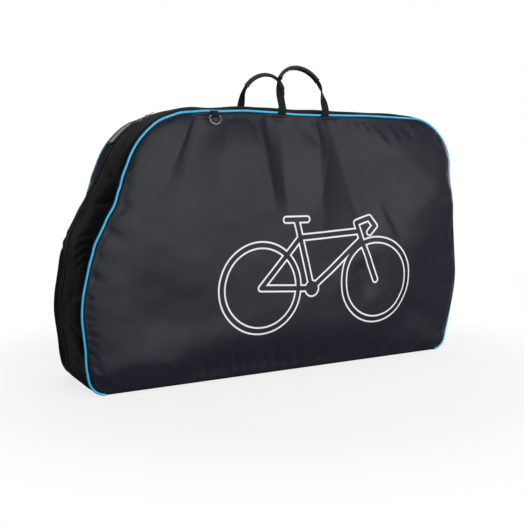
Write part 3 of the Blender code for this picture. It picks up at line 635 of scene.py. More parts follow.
def layered(
    name: str, cells: Cells, size: Pair, face: Callable[[Array, Array, float], Array], wall: float,
) -> Piece:
    """A sheet of even thickness.

    Args:
        name: name of the piece.
        cells: faces along and across.
        size: length and width in metres, for the weave.
        face: places a layer from the shares along and across and from its depth in the sheet.
        wall: thickness of the sheet.

    Returns:
        The piece.
    """
    return shell(name, cells, size, lambda u, v: face(u, v, 0.0), lambda u, v: face(u, v, wall))


def upright_shell(
    name: str, cells: Cells, side: Side, faces: Callable[[Array, Array], tuple[Array, Array, Array]],
) -> Piece:
    """A shell that stands over the bag's side view, with its weave laid out on that view in metres.

    Args:
        name: name of the piece.
        cells: faces along and up.
        side: the face of the bag that it belongs to.
        faces: from the shares along and up, the side view's points, and the outer and the inner depth.

    Returns:
        The piece.
    """
    kept: list[Array] = []

    def outer(u: Array, v: Array) -> Array:
        """The outer face, which is worked out together with the inner one."""
        kept.extend(faces(u, v))
        return side.upright(kept[0], kept[1])

    piece = shell(name, cells, (1.0, 1.0), outer, lambda _u, _v: side.upright(kept[0], kept[2]))
    index = np.empty(len(piece.data.loops), dtype=int)
    piece.data.loops.foreach_get("vertex_index", index)
    piece.data.uv_layers["UVMap"].data.foreach_set("uv", kept[0][index % len(kept[0])].ravel())
    return piece


def tube(name: str, rings: Array, size: Pair, loop: bool = False) -> Piece:
    """A closed tube skinned over rings of points.

    Args:
        name: name of the piece.
        rings: points by ring, by place in the ring, and by axis.
        size: length and girth in metres, for the weave.
        loop: whether the last ring joins the first one.

    Returns:
        The piece.
    """
    count, around = rings.shape[:2]
    spans = count if loop else count - 1
    piece, shares = grid(name, (spans, around), size)
    along = np.rint(shares[:, 0] * spans).astype(int) % count
    turn = np.rint(shares[:, 1] * around).astype(int) % around
    write_points(piece, rings[along, turn])
    steps = [lambda: bpy.ops.mesh.remove_doubles(threshold=WELD)]
    if not loop:
        steps.append(lambda: bpy.ops.mesh.fill_holes(sides=0))
    steps.append(lambda: bpy.ops.mesh.normals_make_consistent(inside=False))
    edit(piece, *steps)
    smooth(piece)
    return piece


def strap(
    name: str, route: Sequence[Any], origin: Array, ahead: Array, up: Array,
    width: float, ply: float, lip: Pair, length: float,
) -> Piece:
    """Webbing that lies along a route in one plane, its width along X.

    Args:
        name: name of the piece.
        route: distances ahead and up from the origin.
        origin: where the route is measured from.
        ahead: direction of the route's first distance.
        up: direction of its second one.
        width: width of the webbing.
        ply: its thickness.
        lip: shares of the half width at which its edge starts to round off and is nearly closed.
        length: its length in metres, for the weave.

    Returns:
        The piece.
    """
    half = [(-1, 0), (-lip[1], 0.8), (-lip[0], 1), (-0.3, 0.95), (0.3, 0.95), (lip[0], 1), (lip[1], 0.8)]
    outline = half + [(-a, -b) for a, b in half]
    last = len(route) - 1
    rings = []
    for index, (far, high) in enumerate(route):
        travel = unit(route[min(index + 1, last)] - route[max(index - 1, 0)])
        normal = travel[0] * up - travel[1] * ahead
        centre = origin + ahead * far + up * high
        rings.append([centre + np.array([a * width / 2, 0, 0]) + normal * (b * ply / 2) for a, b in outline])
    return tube(name, np.array(rings), (length, 2 * width))


def scatter(name: str, pattern: Piece, places: Array, axes: Array) -> Piece:
    """Copy one small modelled shape to many places, as one piece.

    Args:
        name: name of the piece.
        pattern: the modelled shape, which is removed afterwards.
        places: the copies' places.
        axes: for each copy, the directions of the shape's own three axes.

    Returns:
        The piece.
    """
    shape = read_points(pattern)
    faces = [tuple(face.vertices) for face in pattern.data.polygons]
    points = places[:, None, :] + np.einsum("kj,njc->nkc", shape, axes)
    starts = [copy * len(shape) for copy in range(len(places))]
    mesh = bpy.data.meshes.new(name)
    mesh.from_pydata(
        points.reshape(-1, 3).tolist(), [],
        [tuple(index + start for index in face) for start in starts for face in faces],
    )
    bpy.data.objects.remove(pattern, do_unlink=True)
    piece = add_object(name, mesh)
    smooth(piece)
    return piece


def stitches(name: str, places: Array, outward: Array, length: float, width: float) -> Piece:
    """A row of stitches, each a short bead of thread.

    Args:
        name: name of the piece.
        places: a line of points, one per stitch.
        outward: the surface's direction at each point.
        length: length of one stitch.
        width: thickness of the thread.

    Returns:
        The piece.
    """
    bead = new_primitive("stitch", bpy.ops.mesh.primitive_uv_sphere_add, segments=6, ring_count=4, radius=0.5)
    edit(bead, lambda: bpy.ops.transform.resize(value=(length, width, width * 0.8)))
    along = unit(np.gradient(places, axis=0))
    across = unit(np.cross(outward, along))
    axes = np.stack([along, across, unit(np.cross(along, across))], axis=1)
    return scatter(name, bead, places, axes)


def finish_piece(piece: Piece, use: str, body: str, replaced: Sequence[str] = ()) -> None:
    """Dress a piece, let it ride on its body and hide the solids that it stands for.

    Args:
        piece: the piece.
        use: what its material is used for.
        body: the moving group that carries it, or nothing, where it is left without one.
        replaced: the nodes that it stands for.
    """
    piece.data.materials.clear()
    piece.data.materials.append(material_of(use))
    if body:
        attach(piece, body)
    if replaced:
        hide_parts(*replaced)
    log.info("%s: %d faces, on %s", piece.name, len(piece.data.polygons), body or "two bodies")


# Lines and surfaces


def unit(vectors: Array) -> Array:
    """Vectors brought to length 1."""
    return vectors / np.maximum(np.linalg.norm(vectors, axis=-1, keepdims=True), TINY)


def loop_travel(line: Array) -> Array:
    """Directions along a closed line of points."""
    return unit(np.roll(line, -1, axis=0) - np.roll(line, 1, axis=0))


def ease(value: Array) -> Array:
    """Smooth step from 0 to 1."""
    held = np.clip(value, 0, 1)
    return held * held * (3 - 2 * held)


def quarter_round(gap: Array, reach: float) -> Array:
    """Height of a rounded edge from 0 to 1, at distances from the edge."""
    return np.sqrt(1 - (1 - np.clip(gap / reach, 0, 1)) ** 2)


def line_distance(points: Array, line: Array) -> Array:
    """Distance from points to a line.

    Args:
        points: points of the side view.
        line: the line's points in order.

    Returns:
        One distance per point.
    """
    best = np.full(len(points), np.inf)
    for start, end in pairwise(line):
        edge = end - start
        share = np.clip((points - start) @ edge / max(float(edge @ edge), TINY), 0, 1)
        gap = points - start - share[:, None] * edge
        best = np.minimum(best, np.hypot(gap[:, 0], gap[:, 1]))
    return best


def patch(side: Callable[[str, Array], Array], u: Array, v: Array) -> Array:
    """Points of a surface stretched between four sides.

    Args:
        side: gives points on the left, right, bottom or top side, from shares along it.
        u: shares along.
        v: shares up.

    Returns:
        Points of the side view.
    """
    left, right, bottom, top = side("left", v), side("right", v), side("bottom", u), side("top", u)
    ends = (side(name, np.full(1, share)) for name in ("bottom", "top") for share in (0.0, 1.0))
    low_left, low_right, high_left, high_right = ends
    u, v = u[:, None], v[:, None]
    ruled = (1 - v) * bottom + v * top + (1 - u) * left + u * right
    corners = (1 - u) * (1 - v) * low_left + u * (1 - v) * low_right
    corners = corners + (1 - u) * v * high_left + u * v * high_right
    return ruled - corners


def edged(count: int, length: float, steps: Sequence[float]) -> Array:
    """Shares of a row of grid lines that lie closer at both ends.

    Args:
        count: number of faces in the row.
        length: length of the row in metres.
        steps: places of the first lines from either end, in metres.

    Returns:
        The lines' shares, from 0 to 1.
    """
    near = np.array([0.0, *steps]) / length
    middle = np.linspace(near[-1], 1 - near[-1], count + 1 - 2 * len(steps))
    return np.concatenate([near[:-1], middle, 1 - near[:-1][::-1]])


def table_share(shares: Array, table: Array) -> Array:
    """Even shares turned to the shares that a table of grid lines gives."""
    return table[np.rint(shares * (len(table) - 1)).astype(int)]


def cubic(field: Array, shares: Array, axis: int) -> Array:
    """Values of an evenly spaced field between its samples, on smooth curves.

    Args:
        field: the samples.
        shares: places along the axis, from 0 to 1.
        axis: the axis.

    Returns:
        The field, with the places in that axis.
    """
    last = field.shape[axis] - 1
    spot = np.clip(shares * last, 0, last - 1e-9)
    base = np.floor(spot).astype(int)
    t = spot - base
    weights = (
        ((-t + 2) * t - 1) * t / 2, ((3 * t - 5) * t * t + 2) / 2,
        ((-3 * t + 4) * t + 1) * t / 2, (t - 1) * t * t / 2,
    )
    shape = [1] * field.ndim
    shape[axis] = -1
    taken = (np.take(field, np.clip(base + step - 1, 0, last), axis=axis) for step in range(4))
    return sum(part * weight.reshape(shape) for part, weight in zip(taken, weights))


@dataclass(frozen=True)
class Profile:
    """A smooth value along a line, from pairs of place and value."""

    knots: tuple[Pair, ...]

    def at(self, places: Array) -> Array:
        """Values eased from knot to knot.

        Args:
            places: places along the line.

        Returns:
            One value per place.
        """
        keys, values = np.array(self.knots).T
        index = np.clip(np.searchsorted(keys, places, side="right") - 1, 0, len(keys) - 2)
        share = ease((places - keys[index]) / (keys[index + 1] - keys[index]))
        return values[index] + (values[index + 1] - values[index]) * share


@dataclass(frozen=True)
class Crease:
    """A fold in cloth along a line: a ridge, or a valley where its lift is negative.

    The skew is the width on the line's left-hand side, seen along it, as a share of the width on its right.
    """

    start: Pair
    end: Pair
    width: Pair
    lift_mm: float
    fades: Pair
    skew: float = 1.0
    crisp: float = 0.0

    def lift(self, points: Array) -> Array:
        """How far the fold moves the cloth outwards.

        Args:
            points: points of the cloth's own plane.

        Returns:
            One height per point.
        """
        start = np.array(self.start)
        travel = np.array(self.end) - start
        length = np.linalg.norm(travel)
        along = travel / length
        share = (points - start) @ along / length
        across = (points - start) @ np.array([-along[1], along[0]])
        width = self.width[0] + (self.width[1] - self.width[0]) * np.clip(share, 0, 1)
        offset = np.abs(across / np.where(across > 0, width * self.skew, width))
        fade = ease(share / self.fades[0]) * ease((1 - share) / self.fades[1])
        slope = (1 - self.crisp) * np.exp(-(offset**2)) + self.crisp * np.clip(1 - offset / CRISP_REACH, 0, 1)
        return self.lift_mm * MM * fade * slope


@dataclass(frozen=True)
class Ripple:
    """Uneven lie of cloth, as a sum of long waves."""

    height_mm: float
    length: float
    seed: int
    waves: int = 9
    spread: Pair = (0.6, 1.6)

    def lift(self, points: Array) -> Array:
        """How far the waves move the cloth outwards.

        Args:
            points: points of the cloth's own plane.

        Returns:
            One height per point.
        """
        random = np.random.default_rng(self.seed)
        total = np.zeros(len(points))
        for _ in range(self.waves):
            turn = random.uniform(0, 2 * math.pi)
            scale = random.uniform(*self.spread) * self.length
            phase = random.uniform(0, 2 * math.pi)
            along = points @ np.array([math.cos(turn), math.sin(turn)])
            total += np.sin(2 * math.pi * along / scale + phase)
        return self.height_mm * MM * total / math.sqrt(self.waves)


def relief_of(folds: Sequence[Crease | Ripple], points: Array) -> Array:
    """Height of all the folds together."""
    return sum((fold.lift(points) for fold in folds), np.zeros(len(points)))


# The bag's outline


@dataclass
class SeamLine:
    """The bag's side view, clockwise from the base's left end, and how the sewn seam wanders off it."""

    length: float = 1.300
    height: float = 0.770
    corner_shares: tuple[Pair, ...] = (
        (-0.975, 0.000), (-1.003, 0.305), (-0.942, 0.526), (-0.690, 1.000), (0.918, 1.000), (0.998, 0.320),
        (0.928, 0.000),
    )
    radii: tuple[float, ...] = (0.050, 0.300, 0.150, 0.250, 0.165, 0.300, 0.050)
    step: float = 0.005
    wander_mm: Profile = Profile((
        (0.00, 0.0), (0.05, -1.5), (0.11, 2.0), (0.16, 0.0), (0.25, 1.5), (0.33, 3.5), (0.38, 3.5),
        (0.42, 1.0), (0.51, -3.0), (0.556, -7.8), (0.60, -3.5), (0.64, 1.5), (0.75, 5.4), (0.81, 6.2),
        (0.87, 1.0), (0.93, -4.5), (0.99, -3.0), (1.10, 2.0), (1.18, 1.0), (1.26, -2.2), (1.32, -1.5),
        (1.38, 1.0), (1.53, 4.0), (1.72, 2.8), (1.80, 2.0), (1.91, 4.0), (1.98, 1.0), (2.10, 3.0),
        (2.30, 2.5), (2.45, 2.5), (2.52, -1.0), (2.60, 0.0), (4.0, 0.0),
    ))

    def __post_init__(self) -> None:
        """Lay the outline out as close points with directions and lengths."""
        half = self.length / 2
        corners = [np.array([x * half, z * self.height]) for x, z in self.corner_shares]
        points: list[Array] = []
        self.arcs: list[dict[str, Any]] = []
        for index, (corner, radius) in enumerate(zip(corners, self.radii)):
            arrive = unit(corner - corners[index - 1])
            leave = unit(corners[(index + 1) % len(corners)] - corner)
            turn = math.acos(float(arrive @ leave))
            start = corner - arrive * radius * math.tan(turn / 2)
            centre = start + np.array([arrive[1], -arrive[0]]) * radius
            if points:
                points += self.run(points[-1], start)
            first = len(points)
            steps = max(4, math.ceil(turn * radius / self.step))
            begin = math.atan2(start[1] - centre[1], start[0] - centre[0])
            for step in range(steps + 1):
                angle = begin - turn * step / steps
                points.append(centre + radius * np.array([math.cos(angle), math.sin(angle)]))
            self.arcs.append({"first": first, "last": len(points) - 1, "centre": centre, "radius": radius})
        points += self.run(points[-1], points[0])
        self.points = np.array(points)
        shift = np.array([(self.points[:, 0].min() + self.points[:, 0].max()) / 2, 0.0])
        self.points -= shift
        for arc in self.arcs:
            arc["centre"] = arc["centre"] - shift
        travel = loop_travel(self.points)
        self.normals = np.stack([-travel[:, 1], travel[:, 0]], axis=1)
        gaps = np.linalg.norm(np.roll(self.points, -1, axis=0) - self.points, axis=1)
        self.places = np.concatenate([[0.0], np.cumsum(gaps)])
        self.total = float(self.places[-1])
        self.wall_start = float(self.places[self.arcs[0]["last"]])
        self.wall_end = float(self.places[self.arcs[-1]["first"]])
        self.piped_end = float(self.places[self.arcs[-1]["last"]])

    def run(self, start: Array, end: Array) -> list[Array]:
        """Points between two ends of a straight stretch."""
        steps = max(1, math.ceil(float(np.linalg.norm(end - start)) / self.step))
        return [start + (end - start) * index / steps for index in range(1, steps)]

    def at(self, places: Array) -> tuple[Array, Array]:
        """Points and outward directions of the outline, which wraps round.

        Args:
            places: lengths along the outline.

        Returns:
            The points and the directions.
        """
        wrapped = np.mod(places, self.total)
        point, normal = (
            np.stack([np.interp(wrapped, self.places, np.append(row, row[0])) for row in values.T], axis=-1)
            for values in (self.points, self.normals)
        )
        return point, unit(normal)

    def sewn(self, places: Array, inset: Array | float) -> Array:
        """Points of the real seam, which wanders off the outline, moved inwards."""
        point, normal = self.at(places)
        offset = self.wander_mm.at(np.mod(places, self.total)) * MM - inset
        return point + normal * np.asarray(offset)[..., None]

    def arc_middle(self, index: int) -> float:
        """Length along the outline at the middle of one rounded corner."""
        arc = self.arcs[index]
        return float(self.places[arc["first"]] + self.places[arc["last"]]) / 2


@dataclass
class BagForm:
    """Sizes and faces that all the sewn pieces of the bag share."""

    seam: SeamLine
    half_depth: float = 0.125
    cover_wall: float = 0.003
    edge_inset: float = 0.0058
    hem_inset: float = 0.0034
    hem_ease: float = 0.02
    edge_y: float = 0.1262
    edge_round: float = 0.007
    panel_y: float = 0.1313
    panel_crown: float = 0.028
    crown_runs: tuple[tuple[str, float], ...] = (
        ("left", 0.170), ("top", 0.200), ("right", 0.220), ("bottom", 0.175),
    )
    low_left_run: float = 0.026
    left_crown: float = 0.012
    hinge_y: float = 0.1313
    hinge_z: float = 0.0033
    open_angle: float = math.radians(78.0)
    meeting: float = 0.003
    pad_thickness: float = 0.008
    band_edge_y: float = 0.1236
    band_inset: float = 0.0015
    band_wall: float = 0.002
    band_power: float = 4.5
    band_rise: float = 0.200
    drift_from: float = 0.5
    drift_run: float = 0.45
    band_crown: Profile = Profile((
        (0.0, 0.010), (0.30, 0.011), (0.44, 0.022), (0.52, 0.020), (0.655, 0.010), (0.975, 0.010),
        (1.10, 0.019), (1.55, 0.019), (1.75, 0.014), (2.0, 0.012), (4.0, 0.012),
    ))
    zip_y: float = 0.030
    zip_slit: float = 0.0190

    def __post_init__(self) -> None:
        """Note where the four sides of a panel meet, in the middle of its rounded corners."""
        corners = (0, LEFT_SHOULDER, RIGHT_SHOULDER, len(self.seam.arcs) - 1)
        low_left, high_left, high_right, low_right = (self.seam.arc_middle(corner) for corner in corners)
        self.spans = {
            "left": (low_left, high_left), "top": (high_left, high_right), "right": (low_right, high_right),
            "bottom": (low_left + self.seam.total, low_right),
        }

    def side_points(self, name: str, shares: Array) -> Array:
        """Points on one side of a panel's edge.

        Args:
            name: left, top, right or bottom.
            shares: shares along the side, rightwards or upwards.

        Returns:
            Points as x and z.
        """
        start, end = self.spans[name]
        places = start + (end - start) * shares
        near = ease((np.mod(places, self.seam.total) - self.seam.piped_end) / self.hem_ease)
        return self.seam.sewn(places, self.edge_inset + (self.hem_inset - self.edge_inset) * near)

    def edge_distance(self, points: Array, name: str) -> Array:
        """Distance from points of the side view to one side of a panel's edge."""
        return line_distance(points, self.side_points(name, np.linspace(0, 1, 161)))

    def held_off_floor(self, depth: Array, z: Array) -> Array:
        """Depths of a cover, eased to where the opened front panel would lie on the floor."""
        reach = self.hinge_z + (z - self.hinge_z) * math.cos(self.open_angle)
        limit = self.hinge_y + reach / math.sin(self.open_angle)
        return (depth + limit - np.sqrt((depth - limit) ** 2 + self.meeting**2)) / 2

    def band_face(self, places: Array, y: Array, inset: Array | float) -> Array:
        """Points of a side band's face.

        Args:
            places: lengths along the outline.
            y: depths.
            inset: how far below the face, in metres.

        Returns:
            Points as x, y and z.
        """
        point, normal = self.seam.at(places)
        wrapped = np.mod(places, self.seam.total)
        across = np.abs(y) / self.half_depth
        crown = self.band_crown.at(wrapped) * (1 - np.clip(across, 0, 1) ** self.band_power)
        crown = crown * ease(point[:, 1] / self.band_rise)
        drift = self.seam.wander_mm.at(wrapped) * MM * ease((across - self.drift_from) / self.drift_run)
        face = point + normal * (crown + drift - inset)[:, None]
        return np.stack([face[:, 0], y, face[:, 1]], axis=1)

    def face_and_out(self, places: Array, y: Array, inset: Array | float) -> tuple[Array, Array]:
        """Points of a side band's face, and the directions out of it."""
        points = self.band_face(places, y, inset)
        return points, unit(self.band_face(places, y, inset - PROBE) - points)


# The two panels


@dataclass(frozen=True)
class SettledCloth:
    """Lets a cover settle on its padding as cloth.

    A coarse copy with a little more cloth than its seams span is held along its edge and blown up softly. It
    buckles into the long soft wrinkles and the short pulls at the seam that such a cover has.
    """

    cells: Cells = (126, 76)
    frames: int = 16
    spare: float = 0.011
    pressure: float = 1.2
    cap_mm: float = 4.0
    nature: tuple[tuple[str, float], ...] = (
        ("quality", 5), ("mass", 0.2), ("tension_stiffness", 12.0), ("compression_stiffness", 12.0),
        ("shear_stiffness", 4.0), ("bending_stiffness", 0.4), ("air_damping", 2.0),
    )

    def swell(self, place: Placer, outward: float) -> Array:
        """How far the settled cloth stands off its start.

        Args:
            place: points of the cover from the shares along and up.
            outward: sign of the outward direction along Y.

        Returns:
            Rows up of columns along, in metres, never below the padding.
        """
        field = np.zeros((self.cells[1] + 1, self.cells[0] + 1))
        piece, shares = grid("settling_cloth", self.cells, (1.0, 1.0))
        start = place(shares[:, 0], shares[:, 1])
        write_points(piece, start)
        held = piece.vertex_groups.new(name="seam")
        border = (np.minimum(shares, 1 - shares) < 0.001).any(axis=1)
        held.add([int(index) for index in np.flatnonzero(border)], 1.0, "REPLACE")
        cloth = piece.modifiers.new("settling", "CLOTH")
        settings = cloth.settings
        for name, value in self.nature:
            setattr(settings, name, value)
        settings.vertex_group_mass = held.name
        settings.shrink_min = settings.shrink_max = -self.spare
        settings.use_pressure = True
        settings.uniform_pressure_force = self.pressure
        settings.effector_weights.gravity = 0.0
        cloth.collision_settings.use_collision = False
        cloth.collision_settings.use_self_collision = False
        cloth.point_cache.frame_start, cloth.point_cache.frame_end = 1, self.frames
        for frame_number in range(1, self.frames + 1):
            bpy.context.scene.frame_set(frame_number)
        take(piece)
        bpy.ops.object.modifier_apply(modifier=cloth.name)
        rise = (read_points(piece)[:, 1] - start[:, 1]) * outward
        bpy.data.objects.remove(piece, do_unlink=True)
        bpy.context.scene.frame_set(1)
        log.info("settled cloth: stands off %.1f to %.1f mm", rise.min() / MM, rise.max() / MM)
        column, row = np.rint(shares * np.array(self.cells)).astype(int).T
        field[row, column] = rise
        cap = self.cap_mm * MM
        return cap * np.tanh(np.maximum(field, 0) / cap)


def even_tables(cells: Cells) -> tuple[Array, Array]:
    """Shares of evenly spaced grid lines along and up."""
    return np.linspace(0, 1, cells[0] + 1), np.linspace(0, 1, cells[1] + 1)


@dataclass
class PaddedPanel:
    """One face of the bag: cover, quilted padding and the piping round its edge."""

    form: BagForm
    side: Side
    folds: Sequence[Crease | Ripple]
    cloth: SettledCloth = SettledCloth()
    cells: Cells = (256, 156)
    span: Pair = (1.26, 0.76)
    edge_steps: tuple[float, ...] = (0.0006, 0.0016, 0.0030, 0.0048, 0.0072, 0.0105)
    middle: Pair = (0.0, 0.37)
    pad_cells: Cells = (150, 92)
    pad_inset: float = 0.012
    pad_curl: float = 0.014
    pad_lip: float = 0.004
    pad_gap: float = 0.0004
    pad_least: float = 0.0002
    pad_deepest: float = 0.030
    quilt_pitch: float = 0.085
    quilt_depth: float = 0.0034
    quilt_width: float = 0.09
    relief_reach: float = 0.016
    hem_reach: float = 0.048
    low_left_from: Pair = (-0.30, 0.16)
    low_right_run: float = 0.300
    low_right_from: Pair = (0.10, 0.45)
    crown_from: Pair = (-0.16, 0.30)
    right_rise: float = 0.034
    right_run: float = 0.040
    right_low_from: Pair = (0.06, 0.12)
    right_high_from: Pair = (0.62, 0.18)
    blend_power: float = 12.0
    least_rise: float = 1e-6
    strand_pitch: float = 0.004
    strand_sides: int = 14
    piping_radius: float = 0.0033
    piping_y: float = 0.1264
    piping_inset: float = 0.0030
    piping_ends: Pair = (0.001, 0.0005)
    strand_probe: float = 0.01
    flange_inset: float = 0.0048
    flange_y: float = 0.1250
    flange_half: Pair = (0.0036, 0.0008)
    binding_inset: float = 0.0098
    binding_y: float = 0.1195
    binding_half: Pair = (0.0046, 0.0020)
    proud_mm: Profile = Profile(((0.0, 0.0), (4.0, 0.0)))

    def depth(self, points: Array) -> Array:
        """Depth of the cover's outer face.

        Args:
            points: points of the side view.

        Returns:
            One depth per point.
        """
        form = self.form
        x, z = points.T
        gaps = {name: form.edge_distance(points, name) for name in form.spans}
        runs = {name: np.full(len(points), run) for name, run in form.crown_runs}
        low_left = ease((self.low_left_from[0] - x) / self.low_left_from[1])
        low_right = ease((x - self.low_right_from[0]) / self.low_right_from[1])
        runs["bottom"] += (form.low_left_run - runs["bottom"]) * low_left
        runs["bottom"] += (self.low_right_run - runs["bottom"]) * low_right
        leftwards = ease((self.crown_from[0] - x) / self.crown_from[1])
        crown = form.panel_crown + (form.left_crown - form.panel_crown) * leftwards
        lip = form.panel_y - form.edge_y
        rises = {
            name: lip * quarter_round(gaps[name], form.edge_round)
            + crown * np.sin(np.clip(gaps[name] / run, 0, 1) * math.pi / 2)
            for name, run in runs.items()
        }
        full = self.right_rise * quarter_round(gaps["right"], self.right_run)
        puffed = ease((z - self.right_low_from[0]) / self.right_low_from[1])
        puffed = puffed * ease((self.right_high_from[0] - z) / self.right_high_from[1])
        rises["right"] = rises["right"] + (full - rises["right"]) * puffed
        near = np.stack([np.maximum(rise, self.least_rise) for rise in rises.values()])
        swell = (near**-self.blend_power).sum(axis=0) ** (-1 / self.blend_power)
        distance = np.stack(list(gaps.values())).min(axis=0)
        relief = relief_of(self.folds, points)
        relief = np.where(relief < 0, -swell * np.tanh(-relief / swell), relief)
        held = np.minimum(ease(distance / self.relief_reach), ease(gaps["bottom"] / self.hem_reach))
        return form.held_off_floor(form.edge_y + swell + relief * held, z)

    def points(self, u: Array, v: Array, tables: Sequence[Array]) -> Array:
        """Side-view points of a panel's grid; the back's grid runs the other way round."""
        along = 1 - u if self.side is Side.BACK else u
        return patch(self.form.side_points, table_share(along, tables[0]), table_share(v, tables[1]))

    def build(self) -> None:
        """Make the cover, the padding and the piping."""
        self.build_cover()
        self.build_padding()
        self.build_piping()

    def build_cover(self) -> None:
        """The outer cover, a sewn sheet over the padding."""
        form, side = self.form, self.side
        tables = [edged(count, length, self.edge_steps) for count, length in zip(self.cells, self.span)]
        coarse = even_tables(self.cloth.cells)

        def start(u: Array, v: Array) -> Array:
            """The cover before it settles."""
            flat = self.points(u, v, coarse)
            return side.upright(flat, self.depth(flat))

        fine = cubic(cubic(self.cloth.swell(start, side.value), tables[0], 1), tables[1], 0)

        def faces(u: Array, v: Array) -> tuple[Array, Array, Array]:
            """The cover's two faces.

            Args:
                u: shares along.
                v: shares up.

            Returns:
                The side view's points, and the outer and the inner depth.
            """
            flat = self.points(u, v, tables)
            column, row = (np.rint(share * count).astype(int) for share, count in zip((u, v), self.cells))
            depth = form.held_off_floor(self.depth(flat) + np.maximum(fine[row, column], 0), flat[:, 1])
            return flat, depth, depth - form.cover_wall

        cover = upright_shell(f"{side.word}_cover", self.cells, side, faces)
        finish = "printed_panel" if side is Side.FRONT else "panel"
        finish_piece(cover, finish, side.body, [f"{side.word}_panel"])

    def build_padding(self) -> None:
        """Foam in a quilted lining, behind the cover."""
        form, side = self.form, self.side
        tables = even_tables(self.pad_cells)

        def faces(u: Array, v: Array) -> tuple[Array, Array, Array]:
            """The face against the cover, and the quilted face towards the inside of the bag.

            Args:
                u: shares along.
                v: shares up.

            Returns:
                The side view's points, and the outer and the inner depth.
            """
            flat = self.points(u, v, tables)
            flat = flat + unit(np.array(self.middle) - flat) * self.pad_inset
            outer = self.depth(flat) - form.cover_wall - self.pad_gap
            slant = (flat @ np.array([[1.0, 1.0], [1.0, -1.0]])) / (self.quilt_pitch * math.sqrt(2))
            valley = np.exp(-((np.abs(slant - np.rint(slant)) / self.quilt_width) ** 2)).max(axis=1)
            edge = np.stack([form.edge_distance(flat, name) for name in form.spans]).min(axis=0)
            curl = quarter_round(edge - self.pad_inset + self.pad_lip, self.pad_curl)
            thick = (form.pad_thickness - self.quilt_depth * valley) * curl
            inner = np.minimum(outer - self.pad_least, form.panel_y + self.pad_deepest) - thick
            return flat, outer, inner

        pad = upright_shell(f"{side.word}_quilted_pad", self.pad_cells, side, faces)
        finish_piece(pad, "lining", side.body, [f"{side.word}_foam_pad"])

    def build_piping(self) -> None:
        """The corded edge, open along the base, and the tape over its raw edge inside the bag."""
        word, body = self.side.word, self.side.body
        start, end = self.piping_ends[0], self.form.seam.piped_end - self.piping_ends[1]
        places = np.arange(start, end, self.strand_pitch)
        inset = self.piping_inset - self.proud_mm.at(places) * MM
        radius = self.piping_radius
        strands = (
            ("piping_cord", places, inset, self.piping_y, (radius, radius)),
            ("piping_flange", places, inset + self.flange_inset, self.flange_y, self.flange_half),
            ("seam_binding", places[2:-2], self.binding_inset, self.binding_y, self.binding_half),
        )
        cord, flange, tape = (self.strand(*strand) for strand in strands)
        finish_piece(cord, "piping", body, [f"{word}_piping"])
        finish_piece(flange, "piping", body)
        finish_piece(tape, "side", body)

    def strand(self, name: str, places: Array, inset: Array | float, depth: float, half: Pair) -> Piece:
        """A strand along the seam.

        Args:
            name: name of the piece, after the side's name.
            places: lengths along the outline.
            inset: how far inwards from the seam.
            depth: distance from the bag's middle plane.
            half: half its width across the seam and half its thickness.

        Returns:
            The piece.
        """
        core = self.form.seam.sewn(places, inset)
        outward = unit(self.form.seam.sewn(places, inset - self.strand_probe) - core)
        turn = np.linspace(0, 2 * math.pi, self.strand_sides, endpoint=False)
        section = core[:, None, :] + outward[:, None, :] * (np.cos(turn) * half[0])[None, :, None]
        rings = np.empty((len(places), self.strand_sides, 3))
        rings[:, :, 0] = section[:, :, 0]
        rings[:, :, 1] = self.side.value * depth + np.sin(turn) * half[1]
        rings[:, :, 2] = np.maximum(section[:, :, 1], 0)
        size = (float(places[-1] - places[0]), math.pi * sum(half))
        return tube(f"{self.side.word}_{name}", rings, size)


# The strip between the panels


@dataclass
class SideBand:
    """One half of the strip between the panels, from a panel's seam to the zip."""

    form: BagForm
    side: Side
    folds: Sequence[Crease | Ripple]
    cells: Cells = (640, 26)
    end_gap: float = 0.0003
    seam_roll: float = 0.0042
    roll_reach: float = 0.007
    slit_fold: float = 0.0014
    fold_reach: float = 0.0022
    relief_reach: float = 0.012
    edge_steps: tuple[float, ...] = (0.0007, 0.0016, 0.0030, 0.0050, 0.0075)
    stitch_inset: float = 0.0035
    stitch_pitch: float = 0.0042
    stitch_room: float = 0.01
    stitch: Pair = (0.0032, 0.0012)

    def __post_init__(self) -> None:
        """Note the depths of the seam and of the folded edge at the zip, and these two in order."""
        self.seam_y = self.side.value * self.form.band_edge_y
        self.slit_y = self.form.zip_y + self.side.value * self.form.zip_slit / 2
        self.low, self.high = sorted((self.seam_y, self.slit_y))

    def inset(self, places: Array, y: Array) -> Array:
        """How far the band's face lies below the bag's form.

        Args:
            places: lengths along the outline.
            y: depths.

        Returns:
            One inset per place, where the band dives at its edges and its folds stand out.
        """
        roll = 1 - quarter_round(np.abs(y - self.seam_y), self.roll_reach)
        fold = 1 - quarter_round(np.abs(y - self.slit_y), self.fold_reach)
        held = ease(np.minimum(y - self.low, self.high - y) / self.relief_reach)
        relief = relief_of(self.folds, np.stack([places, y], axis=1)) * held
        return self.form.band_inset + self.seam_roll * roll + self.slit_fold * fold - relief

    def build(self) -> None:
        """Make the band and the stitched line along its folded edge."""
        seam, word, body = self.form.seam, self.side.word, self.side.body
        start, end = seam.wall_start + self.end_gap, seam.wall_end - self.end_gap
        width = self.high - self.low
        table = edged(self.cells[1], width, self.edge_steps)

        def layer(u: Array, v: Array, under: float) -> Array:
            """The band's face, or a layer below it."""
            places = start + (end - start) * u
            y = self.low + width * table_share(v, table)
            return self.form.band_face(places, y, self.inset(places, y) + under)

        band = layered(f"{word}_side_band", self.cells, (end - start, width), layer, self.form.band_wall)
        # The band's cloth is drawn darker than the panel's same cloth: painted shade
        finish_piece(band, "side", body, [f"{word}_gusset"])
        places = np.arange(start + self.stitch_room, end - self.stitch_room, self.stitch_pitch)
        depths = np.full(len(places), self.slit_y + self.side.value * self.stitch_inset)
        points, out = self.form.face_and_out(places, depths, self.inset(places, depths))
        # These stitches take the mid grey thread, which is partly a painted highlight for the lit edge of the
        # fold at the zip
        row = stitches(f"{word}_band_stitches", points, out, *self.stitch)
        finish_piece(row, "topstitch_and_painted_highlight", body)


